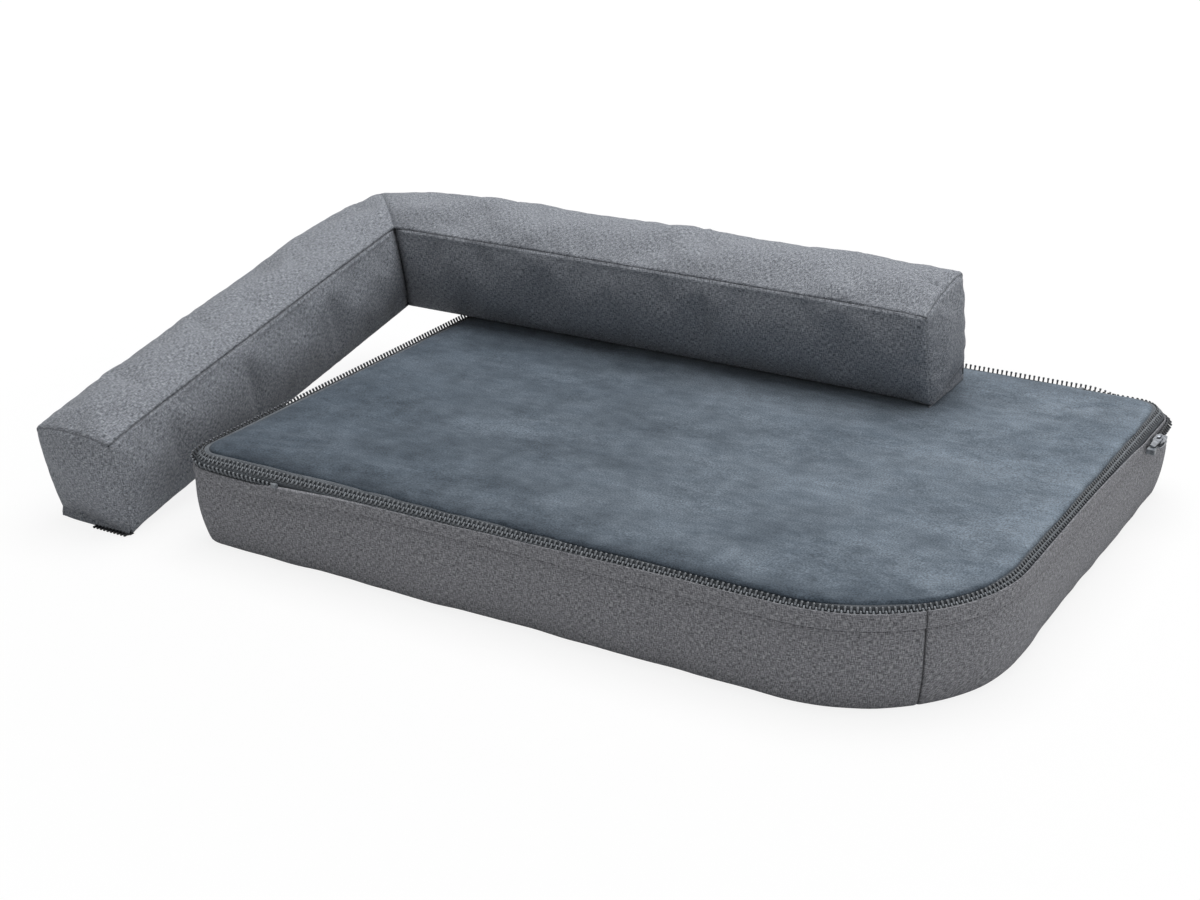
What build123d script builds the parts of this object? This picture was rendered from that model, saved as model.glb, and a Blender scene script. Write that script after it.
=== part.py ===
"""Dog bed: a zipped foam mattress and the L-shaped bolster that zips on along its back and left edges.

The bolster is shown unzipped and slipped to the left. Its long arm rests on the mattress top, and its
short arm hangs down beside the mattress until its end touches the floor.

Millimetres, +X to the right, +Y to the back, +Z up. The origin is the middle of the mattress's underside.
"""

import math
import os

from build123d import *

os.makedirs("parts", exist_ok=True)

# Mattress: the zip line is the outline that the middle of the cover's long zip follows
bed_width = 800.0
bed_depth = 600.0
zip_height = 93.0
round_corner_radius = 155.0
small_corner_radius = 28.0
crown_height = 8.5

# Bolster: an L of two arms with a mitred corner, measured from seam to seam
bolster_width = 98.0
bolster_height = 106.0
long_arm_length = 657.0
short_arm_length = 481.0
bolster_overhang = 61.5
bolster_setback = 150.5
lifted_seam = 9.0
top_bulge = 12.0
side_bulge = 9.0
base_bulge = 2.5
seam_swell = 4.0
skirt_row_clearance = 0.8
end_tape_show = 4.0
end_row_clearance = 0.9
end_lap = 6.0
pin_length = 12.0
pin_radius = 1.3
end_bulge = 5.0
end_bulge_inset = 26.0
end_rim_share = 1 / 4

# Fabrics and the room left between soft pieces
woven_thickness = 1.2
plush_thickness = 2.5
tape_thickness = 0.8
lip_thickness = 2.4
soft_clearance = 0.3
floor_clearance = 0.4

# Moulded-tooth zips
tooth_pitch = 4.6
tooth_length = 5.0
tooth_neck = 1.5
tooth_tip = 2.5
tooth_thickness = 3.0
bead_width = 1.6
chain_gap = 1.6
tape_show = 2.6
tape_free = 2.0
cover_zip_tilt = 45.0
cover_zip_back_left = 122.0
cover_zip_back_right = 60.0
stop_length = 5.0
stop_overhang = 0.6

# Wall of the mattress cover, measured down from the zip line
lip_top = 6.0
lip_bottom = 14.0
wall_bulge = 2.5
wall_tuck = 8.0
hem_radius = 5.0
core_hem = 10.0
core_shoulder_drop = 11.0
core_edge_rise = 2.2

# The bolster zip's half on the mattress: it wraps two corners, and its last stretch hangs beside the wall
front_wrap = 86.0
hanging_leg_setback = 70.0
hanging_leg_width = 9.5
hanging_row_drop = 11.0
hanging_row_length = 38.0
hanging_row_lap = 8.0
box_length = 7.0
box_overhang = 1.2

# Zip sliders and their pulls
slider_length = 21.0
slider_plate = 1.5
slider_flange = 1.0
slider_shoulder = 1.4
slider_clearance = 0.3
slider_web = 1.0
slider_web_length = 5.0
slider_corner = 2.5
slider_shoulder_share = 1 / 6
bridge_length = 9.2
bridge_width = 2.4
bridge_height = 3.8
bridge_wall = 1.6
pull_bar_radius = 0.8
pull_length = 27.0
pull_width = 7.0
pull_tip_width = 4.6
pull_tip_share = 1 / 3
pull_gap = 0.4
pull_slot = 3.4
pull_slot_end = 7.4
bolster_slider_gap = 1.5
cover_slider_gap = 1.5

# Shares of an arm's length from its mitre, and how full the stuffing is there
arm_station_shares = (1.0, 0.96, 0.86, 0.6, 0.3, 0.0)
arm_fullness_shares = (0.3, 0.62, 0.85, 1.0, 1.0, 0.9)
arm_sag_shares = (0.1, 0.4, 0.8, 1.0, 1.0, 1.0)
# How much of the drop from the bolster's seam to its zip's teeth is fabric, and how far the tape laps it
skirt_share = 0.67
tape_lap_share = 0.16
# Rise and inset of the mattress's crown: shares of the crown's height and of the bed's depth
crown_rise_shares = (0.0, 0.5, 0.86, 1.0)
crown_inset_shares = (0.0, 0.002, 0.035, 0.17)
least_radius_share = 0.6
# Where the bolster's last stretch of teeth lies on the floor: shares of the bolster's width
end_row_shares = (0.52, 0.03)
arc_pieces = 8
cut_overrun = 20.0

# What follows from the sizes above
half_width = bed_width / 2
half_depth = bed_depth / 2
tape_half = tape_thickness / 2
tooth_half = tooth_thickness / 2
slope = math.radians(cover_zip_tilt)
chain_half_width = bead_width + tooth_length / 2 + soft_clearance
slider_half = chain_half_width + slider_clearance + slider_flange
slider_gap = tooth_half + slider_clearance
slider_top = slider_gap + slider_plate
seam_out = -(chain_half_width + tape_show) * math.cos(slope)
seam_up = (chain_half_width + tape_show) * math.sin(slope)
plush_top = zip_height + crown_height
plush_edge = zip_height + seam_up - plush_thickness / 2

# Offsets outwards from the zip line, layer by layer
lower_tape_out = slider_half * math.cos(slope) - soft_clearance / 2
bolster_tape_out = lower_tape_out + tape_thickness
lip_in = bolster_tape_out + tape_thickness
lip_out = lip_in + lip_thickness
wall_out = lip_in + woven_thickness
row_out = lip_out + soft_clearance
row_drop = lip_top - tape_thickness - soft_clearance
core_out = lower_tape_out - soft_clearance

# The corners of the zip line, turned clockwise seen from above: centre, radius, start angle and turn
small_x = half_width - small_corner_radius
small_y = half_depth - small_corner_radius
round_x = half_width - round_corner_radius
round_y = half_depth - round_corner_radius
back_right = (small_x, small_y, small_corner_radius, 90, 90)
front_right = (round_x, -round_y, round_corner_radius, 0, 90)
front_left = (-small_x, -small_y, small_corner_radius, -90, 90)
back_left = (-small_x, small_y, small_corner_radius, 180, 90)
before_seam = (round_x, -round_y, round_corner_radius, 0, 45)
after_seam = (round_x, -round_y, round_corner_radius, -45, 45)


def turn_point(corner, offset, share):
    """A point of a corner's arc, a share of the way round it, offset outwards from the zip line."""
    x, y, radius, start_angle, swept = corner
    angle = math.radians(start_angle - swept * share)
    reach = radius + offset
    return (x + reach * math.cos(angle), y + reach * math.sin(angle))


def edge_run(corners, start=None, finish=None, offset=0.0, height=zip_height):
    """A run along the mattress's edge, clockwise seen from above, through the corners given."""
    with BuildLine(Plane.XY.offset(height)) as run:
        here = start
        for corner in corners:
            first, middle, last = (turn_point(corner, offset, share) for share in (0, 1 / 2, 1))
            if here:
                Line(here, first)
            ThreePointArc(first, middle, last)
            here = last
        if finish:
            Line(here, finish)
    return run.wire()


def plane_across(run):
    """The plane across a run's start, with x pointing outwards from the mattress and y pointing up."""
    heading = run % 0
    return Plane(origin=run @ 0, x_dir=(-heading.Y, heading.X, 0), z_dir=heading)


def edge_strip(run, points):
    """A strip swept along the mattress's edge. Its section's points are out and up from the zip line."""
    with BuildPart() as strip:
        with BuildSketch(plane_across(run)):
            with BuildLine():
                Polyline(*points, close=True)
            make_face()
        sweep(path=run)
    return strip.part


def bed_outline(offset):
    """Draws the mattress's outline seen from above, offset outwards from the zip line."""
    width, depth = half_width + offset, half_depth + offset
    small_radius = max(small_corner_radius + offset, small_corner_radius * least_radius_share)
    Rectangle(2 * width, 2 * depth)
    round_one = vertices().sort_by_distance((width, -depth))[0]
    fillet([corner for corner in vertices() if corner != round_one], small_radius)
    fillet(vertices().sort_by_distance((width, -depth))[0], round_corner_radius + offset)


def crown(bottom, top, edge_out):
    """A crowned cap over the mattress, from its edge at one height to its flat middle at another."""
    with BuildPart() as cap:
        for rise, inset in zip(crown_rise_shares, crown_inset_shares):
            with BuildSketch(Plane.XY.offset(bottom + (top - bottom) * rise)):
                bed_outline(edge_out - inset * bed_depth)
        loft(ruled=True)
    return cap.part


def teeth_row(plane, rail):
    """An open row of teeth: its bead lies along the rail, and the teeth stand out on the rail's left."""

    def beside(along, out):
        at = rail.position_at(along, position_mode=PositionMode.LENGTH)
        heading = rail.tangent_at(along, position_mode=PositionMode.LENGTH)
        return (at.X - heading.Y * out, at.Y + heading.X * out)

    count = int(rail.length // tooth_pitch)
    spare = (rail.length - count * tooth_pitch) / 2
    tips = []
    for i in range(count):
        middle = spare + (i + 1 / 2) * tooth_pitch
        tips.append(beside(middle - tooth_neck / 2, bead_width))
        tips.append(beside(middle - tooth_tip / 2, bead_width + tooth_length))
        tips.append(beside(middle + tooth_tip / 2, bead_width + tooth_length))
        tips.append(beside(middle + tooth_neck / 2, bead_width))
    back = []
    for edge in rail.edges():
        pieces = 1 if edge.geom_type == GeomType.LINE else arc_pieces
        back += [(edge @ (i / pieces)) for i in range(pieces)]
    back.append(rail @ 1)
    back = [(point.X, point.Y) for point in reversed(back)]
    with BuildPart() as row:
        with BuildSketch(plane):
            with BuildLine():
                Polyline(beside(0, bead_width), *tips, beside(rail.length, bead_width), *back, close=True)
            make_face()
        extrude(amount=tooth_half, both=True)
    return row.part


def write(part, name):
    """Labels a finished piece and writes it to its own file."""
    part.label = name
    export_step(part, f"parts/{name}.step")


# Foam core: a crowned block, drawn in towards its base and bevelled round its top edge where the zips lie
core_bottom = woven_thickness + soft_clearance
core_shoulder = zip_height - core_shoulder_drop
core_middle = (core_bottom + core_shoulder) / 2
core_edge = zip_height + core_edge_rise
core_crown = crown(core_edge, plush_top - plush_thickness - soft_clearance, seam_out - plush_thickness)
with BuildPart() as foam_core:
    hem = (core_out - wall_tuck - core_hem, core_bottom)
    taper = (core_out - wall_tuck, core_bottom + core_hem)
    for out, height in (hem, taper, (core_out, core_middle)):
        with BuildSketch(Plane.XY.offset(height)):
            bed_outline(out)
    loft(ruled=True)
    with BuildSketch(Plane.XY.offset(core_middle)):
        bed_outline(core_out)
    extrude(amount=core_shoulder - core_middle)
    with BuildSketch(Plane.XY.offset(core_shoulder)):
        bed_outline(core_out)
    with BuildSketch(Plane.XY.offset(core_edge)):
        bed_outline(seam_out - plush_thickness)
    loft(ruled=True)
    add(core_crown)
write(foam_core.part, "foam_core")

# Plush top panel: a crowned skin over the core, turned under at its seam
plush_skin = crown(plush_edge, plush_top, seam_out)
plush_hollow = crown(plush_edge, plush_top - plush_thickness, seam_out - plush_thickness)
with BuildPart() as top_panel:
    add(plush_skin)
    add(plush_hollow, mode=Mode.SUBTRACT)
write(top_panel.part, "top_panel")

# Base panel: the flat fabric underneath
base_out = wall_out - wall_tuck - hem_radius
with BuildPart() as base_panel:
    with BuildSketch():
        bed_outline(base_out)
    extrude(amount=woven_thickness)
write(base_panel.part, "base_panel")


# Wall panels: two lengths of one bulging wall, joined at a seam in the round corner and one at the back left
def wall_panel(run):
    """A wall panel from the folded lip down to the base, turned under at the bottom."""
    foot = -zip_height
    turn = foot + hem_radius
    middle = -(lip_bottom + zip_height - hem_radius) / 2
    outer = [(wall_out, -lip_bottom), (wall_out + wall_bulge, middle), (wall_out - wall_tuck, turn)]
    hem = [(base_out, foot), (base_out, foot + woven_thickness)]
    inner = [(out - woven_thickness, max(up, foot + woven_thickness)) for out, up in reversed(outer)]
    return edge_strip(run, outer + hem + inner)


wall_end = turn_point(back_left, 0.0, 1)
front_wall_run = edge_run([after_seam, front_left, back_left])
back_wall_run = edge_run([back_right, before_seam], start=wall_end)
write(wall_panel(front_wall_run), "front_wall_panel")
write(wall_panel(back_wall_run), "back_wall_panel")

# Folded lip: the wall's doubled top edge, which covers the sewn edges of the zips
with BuildPart() as wall_lip:
    with BuildSketch(Plane.XY.offset(zip_height - lip_bottom)):
        bed_outline(lip_out)
        with BuildSketch(mode=Mode.SUBTRACT):
            bed_outline(lip_in)
    extrude(amount=lip_bottom - lip_top)
write(wall_lip.part, "wall_lip")


# Cover zip: a closed chain on three sides, sloped outwards between the plush and the wall
def on_slope(along, normal):
    """A point of the cover zip's section: along its width, downwards, and above its middle plane."""
    out = along * math.cos(slope) + normal * math.sin(slope)
    return (out, normal * math.cos(slope) - along * math.sin(slope))


def chain_row(side):
    """Section of one closed row of teeth. Side is -1 for the upper row and 1 for the lower one."""
    edge, tip = chain_half_width, chain_gap / 2
    corners = [(edge, tooth_half), (tip, tooth_half), (tip, -tooth_half), (edge, -tooth_half)]
    return [on_slope(side * along, normal) for along, normal in corners]


tape_rise = tape_half / math.cos(slope)
cover_start = (half_width - small_corner_radius - cover_zip_back_right, half_depth)
cover_finish = (-half_width + small_corner_radius + cover_zip_back_left, half_depth)
cover_corners = [back_right, front_right, front_left, back_left]
cover_run = edge_run(cover_corners, cover_start, cover_finish)
upper_tape = [
    (seam_out, seam_up + tape_rise),
    (seam_out, seam_up - tape_rise),
    on_slope(-chain_half_width, -tape_half),
    on_slope(-chain_half_width, tape_half),
]
outer_bend = tape_rise - bolster_tape_out
inner_bend = -tape_rise - lower_tape_out
lower_tape = [
    on_slope(chain_half_width, tape_half),
    (bolster_tape_out, outer_bend),
    (bolster_tape_out, -lip_bottom),
    (lower_tape_out, -lip_bottom),
    (lower_tape_out, inner_bend),
    on_slope(chain_half_width, -tape_half),
]
write(edge_strip(cover_run, upper_tape), "cover_zip_upper_tape")
write(edge_strip(cover_run, lower_tape), "cover_zip_lower_tape")
write(edge_strip(cover_run, chain_row(-1)), "cover_zip_upper_teeth")
write(edge_strip(cover_run, chain_row(1)), "cover_zip_lower_teeth")

# Stops that close both ends of the cover zip's chain
stop_half_height = tooth_half + stop_overhang
with BuildPart() as cover_zip_stops:
    for end_x, heading in ((cover_start[0], -1), (cover_finish[0], 1)):
        with BuildSketch(Plane(origin=(end_x, half_depth, zip_height), x_dir=(0, 1, 0), z_dir=(1, 0, 0))):
            with Locations(Rotation(0, 0, -cover_zip_tilt)):
                Rectangle(2 * chain_half_width, 2 * stop_half_height)
            chamfer(vertices(), stop_overhang)
        extrude(amount=heading * stop_length)
write(cover_zip_stops.part, "cover_zip_stops")

# Bolster zip, mattress half: its tape comes out over the lip, wraps two corners and hangs at its end
hanging_leg_y = half_depth - hanging_leg_setback
hanging_row_start = hanging_leg_y + hanging_row_lap
hanging_row_end = hanging_row_start - hanging_row_length
row_start = (-half_width + small_corner_radius + front_wrap, -half_depth)
row_corners = [front_left, back_left, back_right]
tape_finish = (half_width, hanging_leg_y)
mattress_tape = [
    (bolster_tape_out, -lip_bottom),
    (bolster_tape_out, -row_drop + tape_half),
    (lip_out, -row_drop + tape_half),
    (lip_out, -row_drop - tape_half),
    (lip_in, -row_drop - tape_half),
    (lip_in, -lip_bottom),
]
tape_run = edge_run(row_corners, row_start, tape_finish)
tape_strip = edge_strip(tape_run, mattress_tape)
leg_x = half_width + lip_out
leg_top = zip_height - row_drop + tape_half
hanging_z = zip_height - hanging_row_drop
hanging_rail_x = leg_x + tape_thickness + tape_free
with BuildPart() as bolster_zip_mattress_tape:
    add(tape_strip)
    with BuildSketch(Plane.YZ.offset(leg_x)):
        with BuildLine():
            Polyline(
                (hanging_leg_y, leg_top),
                (hanging_leg_y + hanging_leg_width, leg_top),
                (hanging_leg_y + hanging_leg_width, hanging_z - tape_half),
                (hanging_row_end - box_length, hanging_z - tape_half),
                (hanging_row_end - box_length, hanging_z + hanging_leg_width / 2),
                (hanging_leg_y, hanging_z + hanging_leg_width / 2),
                close=True,
            )
        make_face()
    extrude(amount=tape_thickness)
    with BuildSketch(Plane.XY.offset(hanging_z)):
        with Locations((leg_x + tape_thickness, hanging_row_end - box_length)):
            hanging_length = hanging_row_start - hanging_row_end + box_length
            Rectangle(tape_free, hanging_length, align=(Align.MIN, Align.MIN))
    extrude(amount=tape_half, both=True)
write(bolster_zip_mattress_tape.part, "bolster_zip_mattress_tape")

row_finish = (half_width + row_out, hanging_leg_y + hanging_leg_width + soft_clearance)
row_begin = (row_start[0], -half_depth - row_out)
mattress_rail = edge_run(row_corners, row_begin, row_finish, offset=row_out, height=0.0)
mattress_row = teeth_row(Plane.XY.offset(zip_height - row_drop), mattress_rail)
with BuildLine() as hanging_rail:
    Line((hanging_rail_x, hanging_row_start), (hanging_rail_x, hanging_row_end))
hanging_row = teeth_row(Plane.XY.offset(hanging_z), hanging_rail.wire())
write(Compound(children=[mattress_row, hanging_row]), "bolster_zip_mattress_teeth")

# Box at the hanging end, where the other half's pin seats, and the stop at the front end
with BuildPart() as bolster_zip_box:
    with BuildSketch(Plane.XY.offset(hanging_z)):
        with Locations((hanging_rail_x, hanging_row_end)):
            Rectangle(2 * chain_half_width, box_length, align=(Align.MIN, Align.MAX))
    extrude(amount=tooth_half + box_overhang, both=True)
    chamfer(bolster_zip_box.edges().filter_by(Axis.Y), box_overhang / 2)
write(bolster_zip_box.part, "bolster_zip_box")

with BuildPart() as bolster_zip_front_stop:
    with BuildSketch(Plane.XY.offset(zip_height - row_drop)):
        with Locations(row_begin):
            Rectangle(stop_length, bead_width + tooth_length / 2, align=(Align.MIN, Align.MAX))
    extrude(amount=tooth_half + stop_overhang, both=True)
    chamfer(bolster_zip_front_stop.edges().filter_by(Axis.X), stop_overhang)
write(bolster_zip_front_stop.part, "bolster_zip_front_stop")


# Zip sliders and their pulls, built about the slider's middle: x across the zip, y towards its wide end
def slider(web_offset):
    """A slider: two plates round the teeth, joined by a web at the wide end, with a bridge on top."""
    tail, shoulder_y = slider_half - slider_shoulder, -slider_length * slider_shoulder_share
    front, back = slider_length / 2, -slider_length / 2
    flange_height = slider_gap - tape_half - slider_clearance
    with BuildPart() as body:
        for side in (-1, 1):
            with BuildSketch(Plane.XY.offset(side * slider_gap)):
                with BuildLine():
                    Polyline(
                        (-tail, back),
                        (tail, back),
                        (slider_half, shoulder_y),
                        (slider_half, front),
                        (-slider_half, front),
                        (-slider_half, shoulder_y),
                        close=True,
                    )
                make_face()
                fillet(vertices().group_by(Axis.Y)[-1], slider_corner)
            extrude(amount=side * slider_plate)
            with BuildSketch(Plane.XY.offset(side * slider_gap)):
                flange_length = front - slider_corner - shoulder_y
                for flange_side in (-1, 1):
                    with Locations((flange_side * (slider_half - slider_flange / 2), shoulder_y)):
                        Rectangle(slider_flange, flange_length, align=(Align.CENTER, Align.MIN))
            extrude(amount=-side * flange_height)
        with BuildSketch(Plane.XY.offset(-slider_gap)):
            with Locations((web_offset, front)):
                Rectangle(slider_web, slider_web_length, align=(Align.CENTER, Align.MAX))
        extrude(amount=2 * slider_gap)
        with BuildSketch(Plane.YZ):
            with Locations((0, slider_top)):
                Rectangle(bridge_length, bridge_height, align=(Align.CENTER, Align.MIN))
                fillet(vertices().group_by(Axis.Y)[-1], bridge_wall)
                opening, under = bridge_length - 2 * bridge_wall, bridge_height - bridge_wall
                Rectangle(opening, under, align=(Align.CENTER, Align.MIN), mode=Mode.SUBTRACT)
        extrude(amount=bridge_width / 2, both=True)
    return body.part


def slider_pull():
    """A slider's pull lying back over the narrow end, with its bar through the slider's bridge."""
    with BuildPart() as pull:
        with BuildSketch(Plane.XY.offset(pull_bar_height)):
            with BuildLine():
                Polyline(
                    (-pull_width / 2, 0),
                    (-pull_width / 2, -pull_slot_end),
                    (-pull_tip_width / 2, -pull_length),
                    (pull_tip_width / 2, -pull_length),
                    (pull_width / 2, -pull_slot_end),
                    (pull_width / 2, 0),
                    close=True,
                )
            make_face()
            fillet(vertices().group_by(Axis.Y)[0], pull_tip_width * pull_tip_share)
            Rectangle(pull_slot, pull_slot_end, align=(Align.CENTER, Align.MAX), mode=Mode.SUBTRACT)
        extrude(amount=pull_bar_radius, both=True)
        with Locations(Location((0, 0, pull_bar_height), (0, 90, 0))):
            Cylinder(pull_bar_radius, pull_width)
    return pull.part


pull_bar_height = slider_top + pull_gap + pull_bar_radius
cover_slider_x = cover_finish[0] - cover_slider_gap - slider_length / 2
bolster_slider_y = hanging_row_start - bolster_slider_gap - slider_length / 2
cover_slider_middle = (cover_slider_x, half_depth, zip_height)
up_slope = (0, -math.cos(slope), math.sin(slope))
cover_slider_place = Plane(cover_slider_middle, x_dir=up_slope, z_dir=(0, math.sin(slope), math.cos(slope)))
bolster_slider_place = Plane((hanging_rail_x + chain_half_width, bolster_slider_y, hanging_z))
teeth_reach = bead_width + tooth_length - chain_half_width
bolster_web = teeth_reach + slider_clearance + slider_web / 2
write(cover_slider_place.location * slider(0.0), "cover_zip_slider")
write(cover_slider_place.location * slider_pull(), "cover_zip_pull")
write(bolster_slider_place.location * slider(bolster_web), "bolster_zip_slider")
write(bolster_slider_place.location * slider_pull(), "bolster_zip_pull")


# Bolster, built in its own frame: the seam corner inside the L is its origin, its long arm lies along +x and
# its short arm along -y. Placing the frame tilts it until the short arm's end meets the floor.
rest_height = plush_top + soft_clearance
tilt = math.asin((rest_height - floor_clearance) / short_arm_length)
seam_corner = (-half_width - bolster_overhang, half_depth - bolster_setback, rest_height)
bolster_place = Plane(seam_corner, x_dir=(1, 0, 0), z_dir=(0, -math.sin(tilt), math.cos(tilt)))
mitre = Plane((0, 0, 0), x_dir=(0, 0, 1), z_dir=(1, 1, 0))


def long_section(along):
    """The plane across the long arm, a distance along it from the mitre."""
    return Plane((along, 0, 0), x_dir=(0, 1, 0), z_dir=(1, 0, 0))


def short_section(along):
    """The plane across the short arm, a distance along it from the mitre."""
    return Plane((0, -along, 0), x_dir=(-1, 0, 0), z_dir=(0, 1, 0))


def arm_arcs(fullness, sag, lift, inset=0.0):
    """Three points for each side of an arm's section, in the order base, outer, top and inner."""
    far, top = bolster_width - inset, bolster_height + seam_swell * fullness - inset
    base_inner, base_outer = (inset, inset), (far, inset + lift)
    top_outer, top_inner = (far, top), (inset, top)
    base_middle = (bolster_width / 2, inset + lift / 2 - base_bulge * sag)
    outer_middle = (far + side_bulge * fullness, (top + lift) / 2)
    top_middle = (bolster_width / 2, top + top_bulge * fullness)
    inner_middle = (inset - side_bulge * fullness, top / 2)
    return {
        "base": (base_inner, base_middle, base_outer),
        "outer": (base_outer, outer_middle, top_outer),
        "top": (top_outer, top_middle, top_inner),
        "inner": (top_inner, inner_middle, base_inner),
    }


def arm_stations(length, lift):
    """Where the sections of an arm lie and how full they are, from its end to beyond the mitre."""
    stations = []
    for share, fullness, sag in zip(arm_station_shares, arm_fullness_shares, arm_sag_shares):
        stations.append((share * length, fullness, sag, share * lift))
    stations.append((-bolster_width - cut_overrun, fullness, sag, 0.0))
    return stations


def arm_panel(side, section, length, lift, keep):
    """One fabric panel of an arm, mitred where it meets the other arm's."""
    with BuildPart() as panel:
        for along, fullness, sag, raised in arm_stations(length, lift):
            outside = arm_arcs(fullness, sag, raised)[side]
            inside = arm_arcs(fullness, sag, raised, woven_thickness)[side]
            with BuildSketch(section(along)):
                with BuildLine():
                    ThreePointArc(*outside)
                    Line(outside[-1], inside[-1])
                    ThreePointArc(*reversed(inside))
                    Line(inside[0], outside[0])
                make_face()
        loft(ruled=True)
        split(bisect_by=mitre, keep=keep)
    return panel.part


def arm_block(section, stations, inset):
    """A solid lofted through an arm's whole sections, set in by the same amount on every side."""
    with BuildPart() as block:
        for along, fullness, sag, raised, pinch in stations:
            with BuildSketch(section(along)):
                with BuildLine():
                    for points in arm_arcs(fullness, sag, raised, inset + pinch).values():
                        ThreePointArc(*points)
                make_face()
        loft(ruled=True)
    return block.part


def arm_filling(section, length, lift, keep):
    """The stuffing of an arm, clear of its panels all round."""
    stations = [(*station, 0.0) for station in arm_stations(length, lift)]
    with BuildPart() as filling:
        add(arm_block(section, stations, woven_thickness + soft_clearance))
        split(bisect_by=mitre, keep=keep)
    return filling.part


def arm_end(section, length, lift):
    """The panel that closes an arm's end, pushed out a little by the stuffing."""
    fullness, sag = arm_fullness_shares[0], arm_sag_shares[0]
    domes = []
    for thickness in (0.0, woven_thickness):
        stations = []
        for reach, share in ((0.0, 0.0), (end_bulge / 2, end_rim_share), (end_bulge, 1.0)):
            pinch = end_bulge_inset * share
            stations.append((length + max(reach - thickness, 0.0), fullness, sag, lift, pinch))
        domes.append(arm_block(section, stations, thickness))
    with BuildPart() as end:
        add(domes[0])
        add(domes[1], mode=Mode.SUBTRACT)
    return end.part


arms = (
    ("long_arm", long_section, long_arm_length, 0.0, Keep.TOP),
    ("short_arm", short_section, short_arm_length, lifted_seam, Keep.BOTTOM),
)
for arm, section, length, lift, keep in arms:
    for side in ("base", "outer", "top", "inner"):
        write(bolster_place.location * arm_panel(side, section, length, lift, keep), f"{arm}_{side}_panel")
    write(bolster_place.location * arm_filling(section, length, lift, keep), f"{arm}_filling")
    write(bolster_place.location * arm_end(section, length, lift), f"{arm}_end_panel")

# Skirt under the bolster's outer seam: it closes the wedges under both ends and carries the zip's other half
seam_gap = base_bulge * arm_sag_shares[0] + soft_clearance
long_side = Plane((0, bolster_width, 0), x_dir=(1, 0, 0), z_dir=(0, -1, 0))
short_side = Plane((-bolster_width, 0, 0), x_dir=(0, -1, 0), z_dir=(-1, 0, 0))
long_end = Plane((long_arm_length, 0, 0), x_dir=(0, 1, 0), z_dir=(1, 0, 0))
short_end = Plane((0, -short_arm_length, 0), x_dir=(-1, 0, 0), z_dir=(0, 1, 0))
corner_along = -bolster_width
tape_corner = corner_along + woven_thickness
tape_middle = woven_thickness + tape_half
row_width = bead_width + tooth_length
row_end_height = row_width + floor_clearance
rail_height = row_width + skirt_row_clearance - (bolster_width - tape_middle) * math.tan(tilt)
skirt_height = -rail_height * skirt_share
rail_slope = (row_end_height - rail_height) / (short_arm_length - tape_corner)
tape_lap = -rail_height * tape_lap_share
arm_reach = short_arm_length * math.cos(tilt)
end_row_y = seam_corner[1] - arm_reach - tooth_half * math.tan(tilt) - end_row_clearance


def skirt_strip(plane, points, depth, thickness):
    """A flat strip under the bolster's outer seam, a depth in from the seam's plane."""
    with BuildPart() as strip:
        with BuildSketch(plane.offset(depth)):
            with BuildLine():
                Polyline(*points, close=True)
            make_face()
        extrude(amount=thickness)
    return strip.part


long_skirt = [
    (corner_along, -seam_gap),
    (long_arm_length, -seam_gap),
    (long_arm_length, -skirt_height),
    (corner_along, -skirt_height),
]
short_skirt = [
    (corner_along, -seam_gap),
    (0, -seam_gap),
    (short_arm_length, lifted_seam - seam_gap),
    (short_arm_length, row_end_height + soft_clearance),
    (corner_along, -skirt_height),
]
long_wedge = [
    (end_lap, -seam_gap),
    (bolster_width, -seam_gap),
    (bolster_width, -bolster_width * math.tan(tilt)),
    (end_lap, -end_lap * math.tan(tilt)),
]
short_wedge = [
    (end_lap, lifted_seam * end_lap / bolster_width - seam_gap),
    (bolster_width, lifted_seam - seam_gap),
    (bolster_width, 0),
    (end_lap, 0),
]
with BuildPart() as bolster_skirt:
    add(skirt_strip(long_side, long_skirt, 0.0, woven_thickness))
    add(skirt_strip(short_side, short_skirt, 0.0, -woven_thickness))
    add(skirt_strip(long_end, long_wedge, -woven_thickness, woven_thickness))
    add(skirt_strip(short_end, short_wedge, 0.0, woven_thickness))
write(bolster_place.location * bolster_skirt.part, "bolster_skirt")

row_reach = long_arm_length - woven_thickness - pin_length
long_tape = [
    (tape_corner, tape_lap - skirt_height),
    (row_reach + pin_length / 2, tape_lap - skirt_height),
    (row_reach + pin_length / 2, rail_height),
    (tape_corner, rail_height),
]
short_tape = [
    (tape_corner, tape_lap - skirt_height),
    (short_arm_length - end_lap, row_end_height + tape_lap / 2),
    (short_arm_length - end_lap, row_end_height - rail_slope * end_lap),
    (tape_corner, rail_height),
]
with BuildPart() as side_tape:
    add(skirt_strip(long_side, long_tape, woven_thickness, tape_thickness))
    add(skirt_strip(short_side, short_tape, -woven_thickness, -tape_thickness))
end_row_height = floor_clearance + tooth_half
end_row_left = seam_corner[0] - end_row_shares[0] * bolster_width
end_row_right = seam_corner[0] - end_row_shares[1] * bolster_width
with BuildPart() as end_tape:
    with BuildSketch(Plane.XY.offset(end_row_height)):
        with Locations((end_row_left, end_row_y)):
            Rectangle(end_row_right - end_row_left, end_tape_show, align=(Align.MIN, Align.MAX))
    extrude(amount=tape_half, both=True)
bolster_tapes = [bolster_place.location * side_tape.part, end_tape.part]
write(Compound(children=bolster_tapes), "bolster_zip_bolster_tape")

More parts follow.
